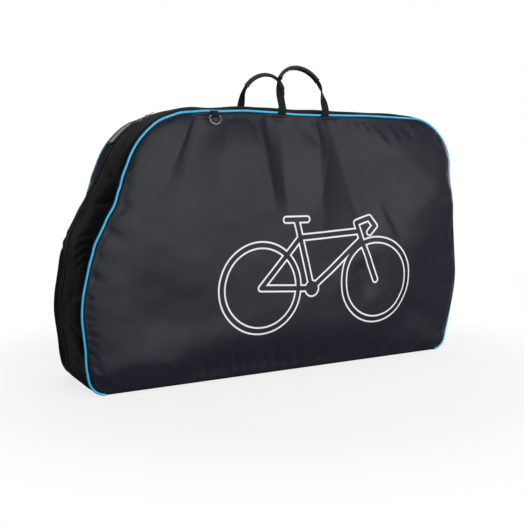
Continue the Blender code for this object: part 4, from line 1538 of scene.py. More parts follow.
@dataclass
class BaseCover:
    """The base: one sheet of tougher fabric, turned up round both lower corners."""

    form: BagForm
    cells: Cells = (300, 40)
    half_width: float = 0.1263
    edge_steps: tuple[float, ...] = (0.0006, 0.0015, 0.003, 0.005)
    wall: float = 0.003
    lap: float = 0.006
    lap_inset: float = 0.0042
    roll: Pair = (0.003, 0.005)

    def build(self) -> None:
        """Make the sheet."""
        seam, width = self.form.seam, 2 * self.half_width
        start, end = seam.wall_end - self.lap, seam.total + seam.wall_start + self.lap
        table = edged(self.cells[1], width, self.edge_steps)

        def layer(u: Array, v: Array, under: float) -> Array:
            """The sheet's outer face, or a layer below it.

            Args:
                u: shares along.
                v: shares across.
                under: depth of the layer.

            Returns:
                The layer's points.
            """
            places = start + (end - start) * u
            y = self.half_width * (2 * table_share(v, table) - 1)
            lap = ease((seam.wall_end - places) / self.lap)
            lap = lap + ease((places - seam.total - seam.wall_start) / self.lap)
            roll = self.roll[0] * (1 - quarter_round(self.half_width - np.abs(y), self.roll[1]))
            face = self.form.band_face(places, y, roll + lap * self.lap_inset + under)
            face[:, 2] = np.maximum(face[:, 2], under)
            return face

        sheet = layered("base_cover", self.cells, (end - start, width), layer, self.wall)
        nodes = ["base_panel", "left_base_corner", "right_base_corner"]
        finish_piece(sheet, "base", "shell", nodes)


@dataclass
class ZipChain:
    """Tapes and interlocking teeth of the zip that runs round the band."""

    form: BagForm
    cells: Cells = (620, 5)
    end_room: float = 0.0066
    tape_inset: float = 0.0048
    tape_thickness: float = 0.0008
    tape_rows: Pair = (0.0008, 0.0150)
    tooth_pitch: float = 0.0026
    tooth_length: float = 0.0042
    tooth_width: float = 0.00125
    tooth_height: float = 0.0023
    tooth_bevel: float = 0.0003
    tooth_cross: float = 0.0005
    teeth_inset: float = 0.0021

    def build(self) -> None:
        """Make both tapes and both rows of teeth."""
        seam = self.form.seam
        span = (seam.wall_start + self.end_room, seam.wall_end - self.end_room)
        for side in Side:
            self.build_tape(side, span)
            self.build_teeth(side, span)

    def build_tape(self, side: Side, span: Pair) -> None:
        """One tape.

        Args:
            side: the half of the band that it is sewn to.
            span: its ends, as lengths along the outline.
        """
        length = span[1] - span[0]
        low, high = sorted(side.value * row for row in self.tape_rows)

        def layer(u: Array, v: Array, under: float) -> Array:
            """The tape's face, or a layer below it."""
            y = self.form.zip_y + low + (high - low) * v
            return self.form.band_face(span[0] + length * u, y, self.tape_inset + under)

        size = (length, high - low)
        tape = layered(f"{side.word}_zip_ribbon", self.cells, size, layer, self.tape_thickness)
        finish_piece(tape, "tape", side.body, [f"{side.word}_zip_tape"])

    def build_teeth(self, side: Side, span: Pair) -> None:
        """One row of teeth, set half a pitch off the other row.

        Args:
            side: the half of the band that carries it.
            span: the row's ends, as lengths along the outline.
        """
        pattern = new_primitive("tooth", bpy.ops.mesh.primitive_cube_add, size=1.0)
        edit(
            pattern,
            lambda: bpy.ops.transform.resize(value=(self.tooth_width, self.tooth_length, self.tooth_height)),
            lambda: bpy.ops.mesh.bevel(offset=self.tooth_bevel, segments=1, affect="EDGES"),
        )
        shift = self.tooth_pitch / 2 if side is Side.BACK else 0.0
        places = np.arange(span[0] + shift, span[1], self.tooth_pitch)
        y = np.full(len(places), self.form.zip_y + side.value * (self.tooth_length / 2 - self.tooth_cross))
        inset = self.teeth_inset + self.tooth_height / 2
        middle, up = self.form.face_and_out(places, y, inset)
        along = unit(self.form.band_face(places + PROBE, y, inset) - middle)
        axes = np.stack([along, np.cross(up, along), up], axis=1)
        teeth = scatter(f"{side.word}_zip_chain", pattern, middle, axes)
        finish_piece(teeth, "teeth", side.body, [f"{side.word}_zip_teeth"])


# Handles, rings and the card holder


@dataclass
class CarryHandle:
    """A webbing handle that stands up from one top seam, with a sleeve round its middle."""

    form: BagForm
    side: Side
    x: float = 0.033
    spacing: float = 0.150
    height: float = 0.138
    straight: float = 0.062
    lean: float = math.radians(20.0)
    width: float = 0.025
    thickness: float = 0.0019
    section_half: tuple[Pair, ...] = (
        (1.0, 0.35), (0.97, 0.8), (0.90, 1.0), (0.45, 0.94), (0.0, 0.92), (-0.45, 0.94), (-0.90, 1.0),
        (-0.97, 0.8), (-1.0, 0.35),
    )
    hinge: Pair = (0.135898, 0.7757)
    sewn: tuple[Pair, ...] = (
        (0.1290, 0.7600), (0.1308, 0.7632), (0.1328, 0.7665), (0.1343, 0.7700), (0.1352, 0.7732),
    )
    fold_start: float = 0.022
    core: Pair = (0.0124, 0.0064)
    grip: Pair = (0.0172, 0.0112)
    grip_wall: float = 0.0021
    grip_half_angle: float = math.radians(62.0)
    grip_power: float = 0.62
    grip_steps: int = 64
    grip_sides: int = 28
    lip: float = 0.0009
    lip_turn: float = 0.15
    lip_spread: float = 0.35
    flare: float = 0.10
    flare_from: float = 0.86
    flare_run: float = 0.14
    lumps: float = 0.02
    lump_turn: float = 1.7
    seam_share: Pair = (0.985, 0.12)
    run: float = 0.42
    sleeve_size: Pair = (0.4, 0.05)
    stitch: Pair = (0.0024, 0.0007)
    arch_steps: int = 72
    leg_steps: int = 14

    def place(self, points: Array) -> Array:
        """Turn and move points to where the handle is sewn on.

        Args:
            points: points of the handle's own frame.

        Returns:
            The same points in the bag's frame.
        """
        sine, cosine = math.sin(self.side.value * self.lean), math.cos(self.side.value * self.lean)
        y = points[..., 1] * cosine - points[..., 2] * sine + self.side.value * self.hinge[0]
        z = points[..., 1] * sine + points[..., 2] * cosine + self.hinge[1]
        return np.stack([points[..., 0] + self.x, y, z], axis=-1)

    def arch(self, angle: float) -> tuple[Array, Array]:
        """Place and outward direction at an angle on the arch."""
        half, rise = self.spacing / 2, self.height - self.straight
        centre = np.array([-half * math.cos(angle), 0.0, self.straight + rise * math.sin(angle)])
        return centre, unit(np.array([-math.cos(angle) / half, 0.0, math.sin(angle) / rise]))

    def section(self, centre: Array, outward: Array, size: Pair, twist: float) -> Array:
        """A rounded strip of webbing across its run.

        Args:
            centre: its middle.
            outward: the direction of its width.
            size: width and thickness.
            twist: how far it is turned, as a share of a quarter turn.

        Returns:
            One ring of points.
        """
        turn = twist * math.pi / 2
        across = np.array([0.0, 1.0, 0.0])
        broad = outward * math.cos(turn) + across * math.sin(turn)
        thin = across * math.cos(turn) - outward * math.sin(turn)
        outline = [*self.section_half, *((-a, -b) for a, b in self.section_half)]
        return np.array([centre + broad * (a * size[0] / 2) + thin * (b * size[1] / 2) for a, b in outline])

    def folded(self, climb: float) -> tuple[Pair, float]:
        """How far the webbing is folded.

        Args:
            climb: length above the seam.

        Returns:
            Its width and thickness there, and its twist.
        """
        sleeve_start = self.straight + self.spacing / 2 * (math.pi / 2 - self.grip_half_angle)
        share = float(ease(np.array((climb - self.fold_start) / (sleeve_start - self.fold_start))))
        width = self.width + (self.core[0] - self.width) * share
        return (width, self.thickness + (self.core[1] - self.thickness) * share), share

    def leg(self, end: int) -> list[Array]:
        """Sections of one leg from the seam up to the arch, in place.

        Args:
            end: -1 for the left leg and 1 for the right one.

        Returns:
            Rings of points.
        """
        outward = np.array([float(end), 0.0, 0.0])
        value, x = self.side.value, end * self.spacing / 2
        rings = []
        route = [*self.sewn, self.hinge]
        flat = self.section(np.zeros(3), outward, (self.width, self.thickness), 0.0)
        for index, (depth, height) in enumerate(self.sewn):
            travel = unit(np.array(route[index + 1]) - np.array(route[max(index - 1, 0)]))
            thin = np.array([0.0, travel[1], -value * travel[0]])
            centre = np.array([self.x + x, value * depth, height])
            rings.append(centre + flat[:, :1] * np.array([1.0, 0, 0]) + flat[:, 1:2] * thin)
        for step in range(1, self.leg_steps + 1):
            climb = self.straight * (step / (self.leg_steps + 1))
            size, twist = self.folded(climb)
            rings.append(self.place(self.section(np.array([x, 0.0, climb]), outward, size, twist)))
        return rings

    def build(self) -> None:
        """Make the webbing and the sleeve."""
        handle = f"{self.side.word}_handle"
        rings = self.leg(-1)
        for step in range(self.arch_steps + 1):
            angle = math.pi * step / self.arch_steps
            size, twist = self.folded(self.straight + self.spacing / 2 * min(angle, math.pi - angle))
            rings.append(self.place(self.section(*self.arch(angle), size, twist)))
        rings += self.leg(1)[::-1]
        webbing = tube(f"{handle}_webbing", np.array(rings), (self.run, 2 * self.width))
        nodes = [f"{handle}_strap", f"{handle}_left_end", f"{handle}_right_end"]
        finish_piece(webbing, "webbing", "", nodes)
        self.side.body
        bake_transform(webbing)
        self.build_sleeve(handle)

    def build_sleeve(self, handle: str) -> None:
        """The folded sleeve round the webbing's middle, with its stitched edge.

        Args:
            handle: the handle's name.
        """
        around = np.linspace(0, 2 * math.pi, self.grip_sides, endpoint=False)
        waves = np.cos(around), np.sin(around)
        broad, thin = (np.sign(row) * np.abs(row) ** self.grip_power for row in waves)
        lip = self.lip * np.exp(-(((around - self.lip_turn) / self.lip_spread) ** 2))
        skins: list[list[Array]] = [[], []]
        line, up = [], []
        value = self.side.value
        for step in range(self.grip_steps + 1):
            share = 2 * step / self.grip_steps - 1
            centre, outward = self.arch(math.pi / 2 + self.grip_half_angle * share)
            flare = 1 + self.flare * float(ease(np.array((abs(share) - self.flare_from) / self.flare_run)))
            swell = 1 + self.lumps * math.sin(step * self.lump_turn)
            half_width, half_height = (size / 2 * flare * swell for size in self.grip)
            for skin, wall, bulge in ((skins[0], 0.0, lip), (skins[1], self.grip_wall, 0.0)):
                wide = broad * (half_width - wall) + bulge
                high = thin * (half_height - wall)
                skin.append(self.place(centre + np.outer(wide, [0, 1, 0]) + high[:, None] * outward))
            edge = centre + np.array([0, value * (half_width * self.seam_share[0]), 0])
            line.append(self.place(edge + outward * self.grip[1] * self.seam_share[1]))
            up.append(self.place(edge + np.array([0, value * PROBE, 0])) - self.place(edge))
        sleeve = tube(f"{handle}_sleeve", np.array(skins[0] + skins[1][::-1]), self.sleeve_size, loop=True)
        finish_piece(sleeve, "grip", handle, [f"{handle}_grip"])
        places, out = np.array(line[2:-2]), unit(np.array(up[2:-2]))
        row = stitches(f"{handle}_sleeve_stitches", places, out, *self.stitch)
        finish_piece(row, "pale_thread", handle)


@dataclass
class TabbedRing:
    """A D-ring in a folded webbing tab below one top seam."""

    side: Side
    pivot: Triple
    width: float = 0.038
    depth: float = 0.0265
    wire: float = 0.0016
    wire_sides: int = 14
    wire_size: Pair = (0.11, 0.01)
    tab_run: float = 0.05
    stitch: Pair = (0.0019, 0.0006)
    corner: float = 0.005
    tab_width: float = 0.023
    tab_lip: Pair = (0.9, 0.975)
    ply: float = 0.0012
    tab_length: float = 0.0165
    room: float = 0.0003
    loop_sweep: float = math.radians(235.0)
    loop_steps: int = 18
    neck_bends: float = 2.4
    tail: float = 0.0015
    stitch_margin: float = 0.002
    stitch_drop: float = 0.0045
    stitch_count: int = 9

    def directions(self) -> tuple[Array, Array]:
        """Down along the panel and out from it, from the ring's own plane.

        Returns:
            The two directions.
        """
        points = read_points(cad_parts[f"{self.side.word}_d_ring"])
        out = np.linalg.svd(points - points.mean(axis=0), full_matrices=False)[2][2]
        out = out * math.copysign(1.0, out[1] * self.side.value)
        out[0] = 0.0
        out = unit(out)
        return unit(np.array([0.0, out[2] * self.side.value, -abs(out[1])])), out

    def build(self) -> None:
        """Make the ring and its tab."""
        word = self.side.word
        down, out = self.directions()
        pivot, along = np.array(self.pivot), np.array([1.0, 0.0, 0.0])
        route, wire = self.wire_route(), self.wire
        turn = np.linspace(0, 2 * math.pi, self.wire_sides, endpoint=False)
        rings = []
        for (x, drop), (step_x, step_drop) in zip(route, loop_travel(route)):
            centre = pivot + along * x + down * drop
            away = along * step_drop - down * step_x
            rings.append([centre + away * (wire * math.cos(a)) + out * (wire * math.sin(a)) for a in turn])
        ring = tube(f"{word}_ring_wire", np.array(rings), self.wire_size, loop=True)
        finish_piece(ring, "nickel", f"{word}_ring", [f"{word}_d_ring"])
        self.build_tab(pivot, down, out)

    def wire_route(self) -> Array:
        """Middle line of the ring: round its bow, and along the bar.

        Returns:
            Points along the bag and down from the bar.
        """
        half, corner = self.width / 2 - self.wire, self.corner
        depth = self.depth - 2 * self.wire
        quarter = [(math.sin(angle), math.cos(angle)) for angle in np.linspace(0, math.pi / 2, 7)]
        points = [(half - corner + corner * sine, corner * (1 - cosine)) for sine, cosine in quarter]
        for angle in np.linspace(0, math.pi, 37)[1:-1]:
            points.append((half * math.cos(angle), corner + (depth - corner) * math.sin(angle)))
        points += [(-half + corner * (1 - cosine), corner * (1 - sine)) for sine, cosine in quarter]
        for share in np.linspace(0, 1, 8)[1:-1]:
            points.append(((-half + corner) * (1 - share) + (half - corner) * share, 0.0))
        return np.array(points)

    def build_tab(self, pivot: Array, down: Array, out: Array) -> None:
        """The tab: webbing that lies on the panel, goes round the ring's bar and back.

        Args:
            pivot: the middle of the ring's bar.
            down: direction down along the panel.
            out: direction out from the panel.
        """
        word, body = self.side.word, self.side.body
        bend = self.wire + self.room + self.ply / 2
        core = np.array([self.tab_length - self.wire - self.room - self.ply, bend + self.ply / 2])
        origin = pivot - down * core[0] - out * core[1]
        route = [np.array([share * core[0], self.ply / 2]) for share in np.linspace(-0.1, 1, 9)]
        for step in range(1, self.loop_steps + 1):
            angle = -math.pi / 2 + self.loop_sweep * step / self.loop_steps
            route.append(core + bend * np.array([math.cos(angle), math.sin(angle)]))
        over = self.ply * 1.5 + self.room
        neck = core[0] - self.neck_bends * bend
        route += [np.array([neck * (1 - share) - self.tail * share, over]) for share in np.linspace(0, 1, 6)]
        sizes = (self.tab_width, self.ply, self.tab_lip, self.tab_run)
        tab = strap(f"{word}_ring_loop", route, origin, down, out, *sizes)
        finish_piece(tab, "webbing", body, [f"{word}_ring_tab"])
        half = self.tab_width / 2
        x = np.linspace(-half + self.stitch_margin, half - self.stitch_margin, self.stitch_count)
        first = origin + down * self.stitch_drop + out * (over + self.ply / 2)
        points = np.array([first + np.array([place, 0, 0]) for place in x])
        row = stitches(f"{word}_ring_loop_stitches", points, np.tile(out, (len(points), 1)), *self.stitch)
        finish_piece(row, "thread", body)


@dataclass
class AddressHolder:
    """A card under a clear window, in a sewn frame on the left shoulder."""

    form: BagForm
    cells: Cells = (40, 18)
    length: float = 0.080
    width: float = 0.036
    y: float = 0.081
    angle: float = math.radians(132.4)
    border: float = 0.007
    corner: float = 0.006
    point_step: float = 0.004
    height: float = 0.0020
    sheet: float = 0.0005
    room: float = 0.0003
    window_lap: float = 0.001
    frame_size: Pair = (0.25, 0.018)
    stitch_share: float = 0.1
    stitch: Pair = (0.0026, 0.0006)
    profile: tuple[Pair, ...] = (
        (-1, 0), (-1, 0.75), (-0.86, 0.95), (-0.5, 1.0), (0.3, 1.0), (0.8, 0.92), (0.96, 0.6), (1, 0),
    )

    def __post_init__(self) -> None:
        """Note the length along the outline at the holder's middle."""
        seam = self.form.seam
        arc = seam.arcs[LEFT_SHOULDER]
        first = seam.points[arc["first"]] - arc["centre"]
        begin = math.atan2(first[1], first[0])
        self.middle = float(seam.places[arc["first"]]) + (begin - self.angle) * arc["radius"]

    def plate(self, name: str, inset: float, grow: float) -> Piece:
        """A thin sheet that follows the shoulder.

        Args:
            name: name of the piece.
            inset: how far below the bag's form.
            grow: how far it is larger than the card on each side.

        Returns:
            The piece.
        """
        half, wide = self.length / 2 + grow, self.width / 2 + grow

        def layer(u: Array, v: Array, under: float) -> Array:
            """The sheet's face, or a layer below it."""
            places, y = self.middle + half * (2 * u - 1), self.y + wide * (2 * v - 1)
            return self.form.band_face(places, y, inset + under)

        return layered(name, self.cells, (2 * half, 2 * wide), layer, self.sheet)

    def build(self) -> None:
        """Make the card, the window and the frame."""
        band = self.form.band_inset
        card = self.plate("name_card", band - self.room - self.sheet, 0.0)
        finish_piece(card, "card", "shell", ["address_card"])
        window = self.plate("clear_window", band - 2 * (self.room + self.sheet), self.window_lap)
        finish_piece(window, "window", "shell", ["card_window"])
        self.build_frame()

    def frame_path(self) -> Array:
        """Middle line of the frame, with rounded corners, in close points.

        Returns:
            Distances from the holder's middle, along the outline and in depth.
        """
        half, wide = ((size + self.border) / 2 - self.corner for size in (self.length, self.width))
        corners = []
        for quarter, (sign_s, sign_y) in enumerate(((1, 1), (-1, 1), (-1, -1), (1, -1))):
            angles = np.linspace(0, math.pi / 2, 8) + quarter * math.pi / 2
            for angle in angles:
                turn = np.array([math.cos(angle), math.sin(angle)])
                corners.append(np.array([sign_s * half, sign_y * wide]) + self.corner * turn)
        path = []
        for start, end in pairwise([*corners, corners[0]]):
            count = max(1, round(float(np.linalg.norm(end - start)) / self.point_step))
            path += [start + (end - start) * step / count for step in range(count)]
        return np.array(path)

    def build_frame(self) -> None:
        """The frame, a flat border with rounded corners and a stitched line."""
        path = self.frame_path()
        travel = loop_travel(path)
        out = np.stack([travel[:, 1], -travel[:, 0]], axis=1)
        base = self.form.band_inset - self.room
        place = np.array([self.middle, self.y])
        rings = np.empty((len(path), len(self.profile), 3))
        for index, (across, up) in enumerate(self.profile):
            at = place + path + out * (across * self.border / 2)
            rings[:, index] = self.form.band_face(at[:, 0], at[:, 1], base - up * self.height)
        border = tube("window_frame", rings, self.frame_size, loop=True)
        finish_piece(border, "frame", "shell", ["card_frame"])
        at = place + path + out * (self.stitch_share * self.border)
        places, above = self.form.face_and_out(at[:, 0], at[:, 1], base - self.height)
        row = stitches("window_frame_stitches", places, above, *self.stitch)
        finish_piece(row, "thread", "shell")


# The inside


@dataclass
class WheelPocket:
    """An open-topped pocket with a rounded edge, sewn to one panel's padding."""

    panel: PaddedPanel
    cells: Cells = (96, 80)
    span: Pair = (0.68, 0.56)
    edge_steps: tuple[float, ...] = (0.001, 0.003, 0.006, 0.010, 0.016, 0.024)
    width: float = 0.680
    bottom: float = 0.040
    top: float = 0.600
    radius: float = 0.300
    y: float = 0.085
    wall: float = 0.0016
    seat_gap: float = 0.001
    curl_reach: float = 0.022
    slack: Ripple = Ripple(1.6, 0.22, 21)
    slack_reach: float = 0.05

    def __post_init__(self) -> None:
        """Lay out the four sides as dense lines."""
        half, radius = self.width / 2, self.radius
        low = self.bottom + radius
        arc = np.linspace(0, math.pi / 4, 24)
        upper, lower = (
            np.stack([half - radius + radius * np.cos(turn), low - radius * np.sin(turn)], axis=1)
            for turn in (arc, arc + math.pi / 4)
        )
        right = np.vstack([upper[::-1], [[half, self.top]]])
        bottom = np.vstack([lower * [-1, 1], lower[::-1]])
        self.sides = {
            "left": right * [-1, 1], "right": right, "bottom": bottom[np.argsort(bottom[:, 0])],
            "top": np.array([[-half, self.top], [half, self.top]]),
        }

    def side_points(self, name: str, shares: Array) -> Array:
        """Points on one side of the pocket."""
        line = self.sides[name]
        gaps = np.concatenate([[0], np.cumsum(np.linalg.norm(np.diff(line, axis=0), axis=1))])
        return np.stack([np.interp(shares * gaps[-1], gaps, line[:, axis]) for axis in (0, 1)], axis=1)

    def faces(self, u: Array, v: Array) -> tuple[Array, Array, Array]:
        """The pocket's two faces.

        Args:
            u: shares along.
            v: shares up.

        Returns:
            The side view's points, and the depths towards the inside of the bag and towards the padding.
        """
        form = self.panel.form
        tables = [edged(count, length, self.edge_steps) for count, length in zip(self.cells, self.span)]
        along = 1 - u if self.panel.side is Side.BACK else u
        flat = patch(self.side_points, table_share(along, tables[0]), table_share(v, tables[1]))
        lines = (self.side_points(name, np.linspace(0, 1, 81)) for name in ("left", "right", "bottom"))
        gap = np.stack([line_distance(flat, line) for line in lines]).min(axis=0)
        seat = self.panel.depth(flat) - form.cover_wall - form.pad_thickness - self.seat_gap
        wavy = self.slack.lift(flat) * ease(gap / self.slack_reach)
        depth = seat + (self.y - seat) * quarter_round(gap, self.curl_reach) + wavy
        return flat, depth, depth + self.wall

    def build(self) -> None:
        """Make the pocket."""
        side = self.panel.side
        pocket = upright_shell(f"{side.word}_pocket", self.cells, side, self.faces)
        edit(pocket, lambda: bpy.ops.mesh.normals_make_consistent(inside=False))
        finish_piece(pocket, "lining", side.body, [f"{side.word}_wheel_pocket"])


@dataclass
class BasePad:
    """Foam in a lining on the base board, with rounded edges and two sewn channels."""

    cells: Cells = (160, 40)
    edge_steps: tuple[float, ...] = (0.0008, 0.002, 0.004, 0.007)
    left: float = -0.5856
    right: float = 0.5629
    half_width: float = 0.115
    low: float = 0.0066
    high: float = 0.0146
    edge_share: float = 0.25
    edge_reach: float = 0.008
    channel_y: float = 0.040
    channel_width: float = 0.003
    channel_depth: float = 0.0018

    def build(self) -> None:
        """Make the pad."""
        size = (self.right - self.left, 2 * self.half_width)
        tables = [edged(count, length, self.edge_steps) for count, length in zip(self.cells, size)]
        middle, half = (self.low + self.high) / 2, (self.high - self.low) / 2

        def layer(u: Array, v: Array, sign: int) -> Array:
            """The padding's upper or lower face.

            Args:
                u: shares along.
                v: shares across.
                sign: 1 for the upper face and -1 for the lower one.

            Returns:
                The face's points.
            """
            x = self.left + size[0] * table_share(u, tables[0])
            y = self.half_width * (2 * table_share(v, tables[1]) - 1)
            gap = np.minimum(np.minimum(x - self.left, self.right - x), self.half_width - np.abs(y))
            curl = self.edge_share + (1 - self.edge_share) * quarter_round(gap, self.edge_reach)
            channel = np.exp(-(((np.abs(y) - self.channel_y) / self.channel_width) ** 2))
            sunk = self.channel_depth * channel if sign > 0 else 0.0
            return np.stack([x, y, middle + (sign * half * curl - sunk)], axis=1)

        pad = shell("base_pad", self.cells, size, lambda u, v: layer(u, v, 1), lambda u, v: layer(u, v, -1))
        finish_piece(pad, "lining", "shell", ["base_foam_pad"])


@dataclass
class FrameStrap:
    """A hook-and-loop strap folded over itself on the base."""

    word: str
    x: float
    width: float = 0.038
    half: float = 0.095
    ply: float = 0.0020
    gap: float = 0.0003
    low: float = 0.0149
    lip: Pair = (0.95, 0.985)
    run: float = 0.29

    def build(self) -> None:
        """Make the strap."""
        lower = self.low + self.ply / 2
        upper = lower + self.ply + self.gap
        bend = (upper - lower) / 2
        route = [np.array([y, lower]) for y in np.linspace(-self.half, self.half, 30)]
        for angle in np.linspace(-math.pi / 2, math.pi / 2, 9)[1:-1]:
            turned = np.array([math.cos(angle), math.sin(angle)]) * bend
            route.append(np.array([self.half, lower + bend]) + turned)
        route += [np.array([y, upper]) for y in np.linspace(self.half, 0, 16)]
        origin, ahead, up = np.array([self.x, 0.0, 0.0]), np.array([0.0, 1.0, 0.0]), np.array([0.0, 0.0, 1.0])
        sizes = (self.width, self.ply, self.lip, self.run)
        band = strap(f"{self.word}_base_strap", route, origin, ahead, up, *sizes)
        finish_piece(band, "webbing", "shell", [f"{self.word}_frame_strap"])


@dataclass
class Hardware:
    """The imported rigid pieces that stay: softened edges and their own materials."""

    weld: float = 0.00001
    bevel: float = 0.0003
    bevel_angle: float = math.radians(40.0)
    used: tuple[tuple[str, str], ...] = (
        ("left_slider", "gunmetal"), ("left_puller", "gunmetal"), ("right_slider", "gunmetal"),
        ("right_puller", "gunmetal"), ("left_zip_stop", "teeth"), ("right_zip_stop", "teeth"),
        ("base_board", "board"),
    )

    def build(self) -> None:
        """Weld each node's triangles, round its edges and set its material."""
        for name, use in self.used:
            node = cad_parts[name]
            for place in node.material_slots:
                place.material = material_of(use)
            node.modifiers.new("weld", "WELD").merge_threshold = self.weld
            rounding = node.modifiers.new("rounding", "BEVEL")
            rounding.width = self.bevel
            rounding.segments = 2
            rounding.limit_method = "ANGLE"
            rounding.angle_limit = self.bevel_angle
            log.info("%s: packed piece, %s", name, material_of(use).name)


# Camera, floor and lamps


@dataclass(frozen=True)
class Lamp:
    """A soft lamp, wide and high, that looks at the bag's middle."""

    name: str
    place: Triple
    size: Pair
    power: float
    aim: Triple = (0.0, 0.0, 0.4)

    def build(self) -> None:
        """Hang the lamp."""
        data = bpy.data.lights.new(self.name, "AREA")
        data.shape = "RECTANGLE"
        data.size, data.size_y = self.size
        data.energy = self.power
        lamp = add_object(self.name, data)
        lamp.location = self.place
        lamp.rotation_euler = facing(Vector(self.aim) - Vector(self.place))
        lamp.visible_camera = False


def facing(direction: Vector) -> Any:
    """The turn of a camera or lamp that looks in a direction."""
    return direction.to_track_quat("-Z", "Y").to_euler()


@dataclass
class Studio:
    """Camera, floor and lights."""

    eye: Triple = (-1.2258, -2.1053, 0.5772)
    yaw: float = math.radians(29.5)
    pitch: float = math.radians(6.1)
    focal_pixels: float = 780.0
    picture: int = 524
    sensor_mm: float = 36.0
    floor_reach: float = 12.0
    floor_tone: str = "5A5A5A"
    floor_seen: str = "F4F4F4"
    floor_roughness: float = 0.9
    shade_reach: Pair = (0.60, 1.20)
    shade_least: float = 0.80
    gloss_share: float = 0.22
    floor_gloss_share: float = 0.08
    ambient: float = 0.07
    lamps: tuple[Lamp, ...] = (
        Lamp("key", (0.9, -4.1, 1.10), (4.8, 2.2), 200.0),
        Lamp("side", (-2.6, -0.7, 2.6), (1.2, 1.2), 5.0),
        Lamp("top", (-0.6, 0.2, 2.8), (1.4, 1.4), 14.0),
        Lamp("back", (1.5, 3.4, 0.58), (3.2, 0.9), 100.0),
        Lamp("end", (3.6, 1.2, 1.2), (1.8, 1.6), 36.0),
    )

    def build(self) -> None:
        """Set the camera, the floor, the lamps and the world."""
        self.build_camera()
        self.build_floor()
        for lamp in self.lamps:
            lamp.build()
        self.build_world()

    def build_camera(self) -> None:
        """The photograph's view."""
        data = bpy.data.cameras.new("camera")
        data.lens = self.focal_pixels / self.picture * self.sensor_mm
        data.sensor_width = self.sensor_mm
        camera = add_object("camera", data)
        camera.location = self.eye
        level = math.cos(self.pitch)
        look = Vector((math.sin(self.yaw) * level, math.cos(self.yaw) * level, -math.sin(self.pitch)))
        camera.rotation_euler = facing(look)
        bpy.context.scene.camera = camera

    def build_floor(self) -> None:
        """A pale floor that keeps the bag's shadow and goes to white for the camera."""
        size = 2 * self.floor_reach
        floor = new_primitive("floor", bpy.ops.mesh.primitive_plane_add, size=size, location=(0, 0, 0))
        material = bpy.data.materials.new("floor")
        material.use_nodes = True
        tree = material.node_tree
        shader = tree.nodes["Principled BSDF"]
        where = add_node(tree, "TexCoord", {}, "Object")
        seen = seen_share(tree, self.floor_gloss_share)
        pale = mottled(tree, where, self.floor_seen, 0.8, 0.01)
        feeds = {0: seen, 6: linear(self.floor_tone), 7: pale}
        tone = add_node(tree, "Mix", feeds, 2, data_type="RGBA")
        feed(tree, shader, {"Base Color": tone, "Roughness": self.floor_roughness})
        glow = add_node(tree, "Emission", {"Color": linear("FFFFFF"), "Strength": 1.0})
        away = add_node(tree, "VectorMath", {0: where}, "Value", operation="LENGTH")
        near, far = self.shade_reach
        feeds = {"Value": away, "From Min": near, "From Max": far, "To Min": self.shade_least}
        fade = add_node(tree, "MapRange", feeds, interpolation_type="SMOOTHSTEP")
        share = add_node(tree, "Math", {0: seen, 1: fade}, operation="MULTIPLY")
        mix = add_node(tree, "MixShader", {0: share, 1: shader.outputs[0], 2: glow})
        feed(tree, tree.nodes["Material Output"], {"Surface": mix})
        floor.data.materials.append(material)
        floor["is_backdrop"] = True

    def build_world(self) -> None:
        """White to the camera and to gloss, and a soft grey light on everything."""
        world = bpy.data.worlds.new("studio")
        bpy.context.scene.world = world
        world.use_nodes = True
        tree = world.node_tree
        seen = seen_share(tree, self.gloss_share)
        strength = add_node(tree, "MapRange", {"Value": seen, "To Min": self.ambient})
        feed(tree, tree.nodes["Background"], {"Color": linear("FFFFFF"), "Strength": strength})


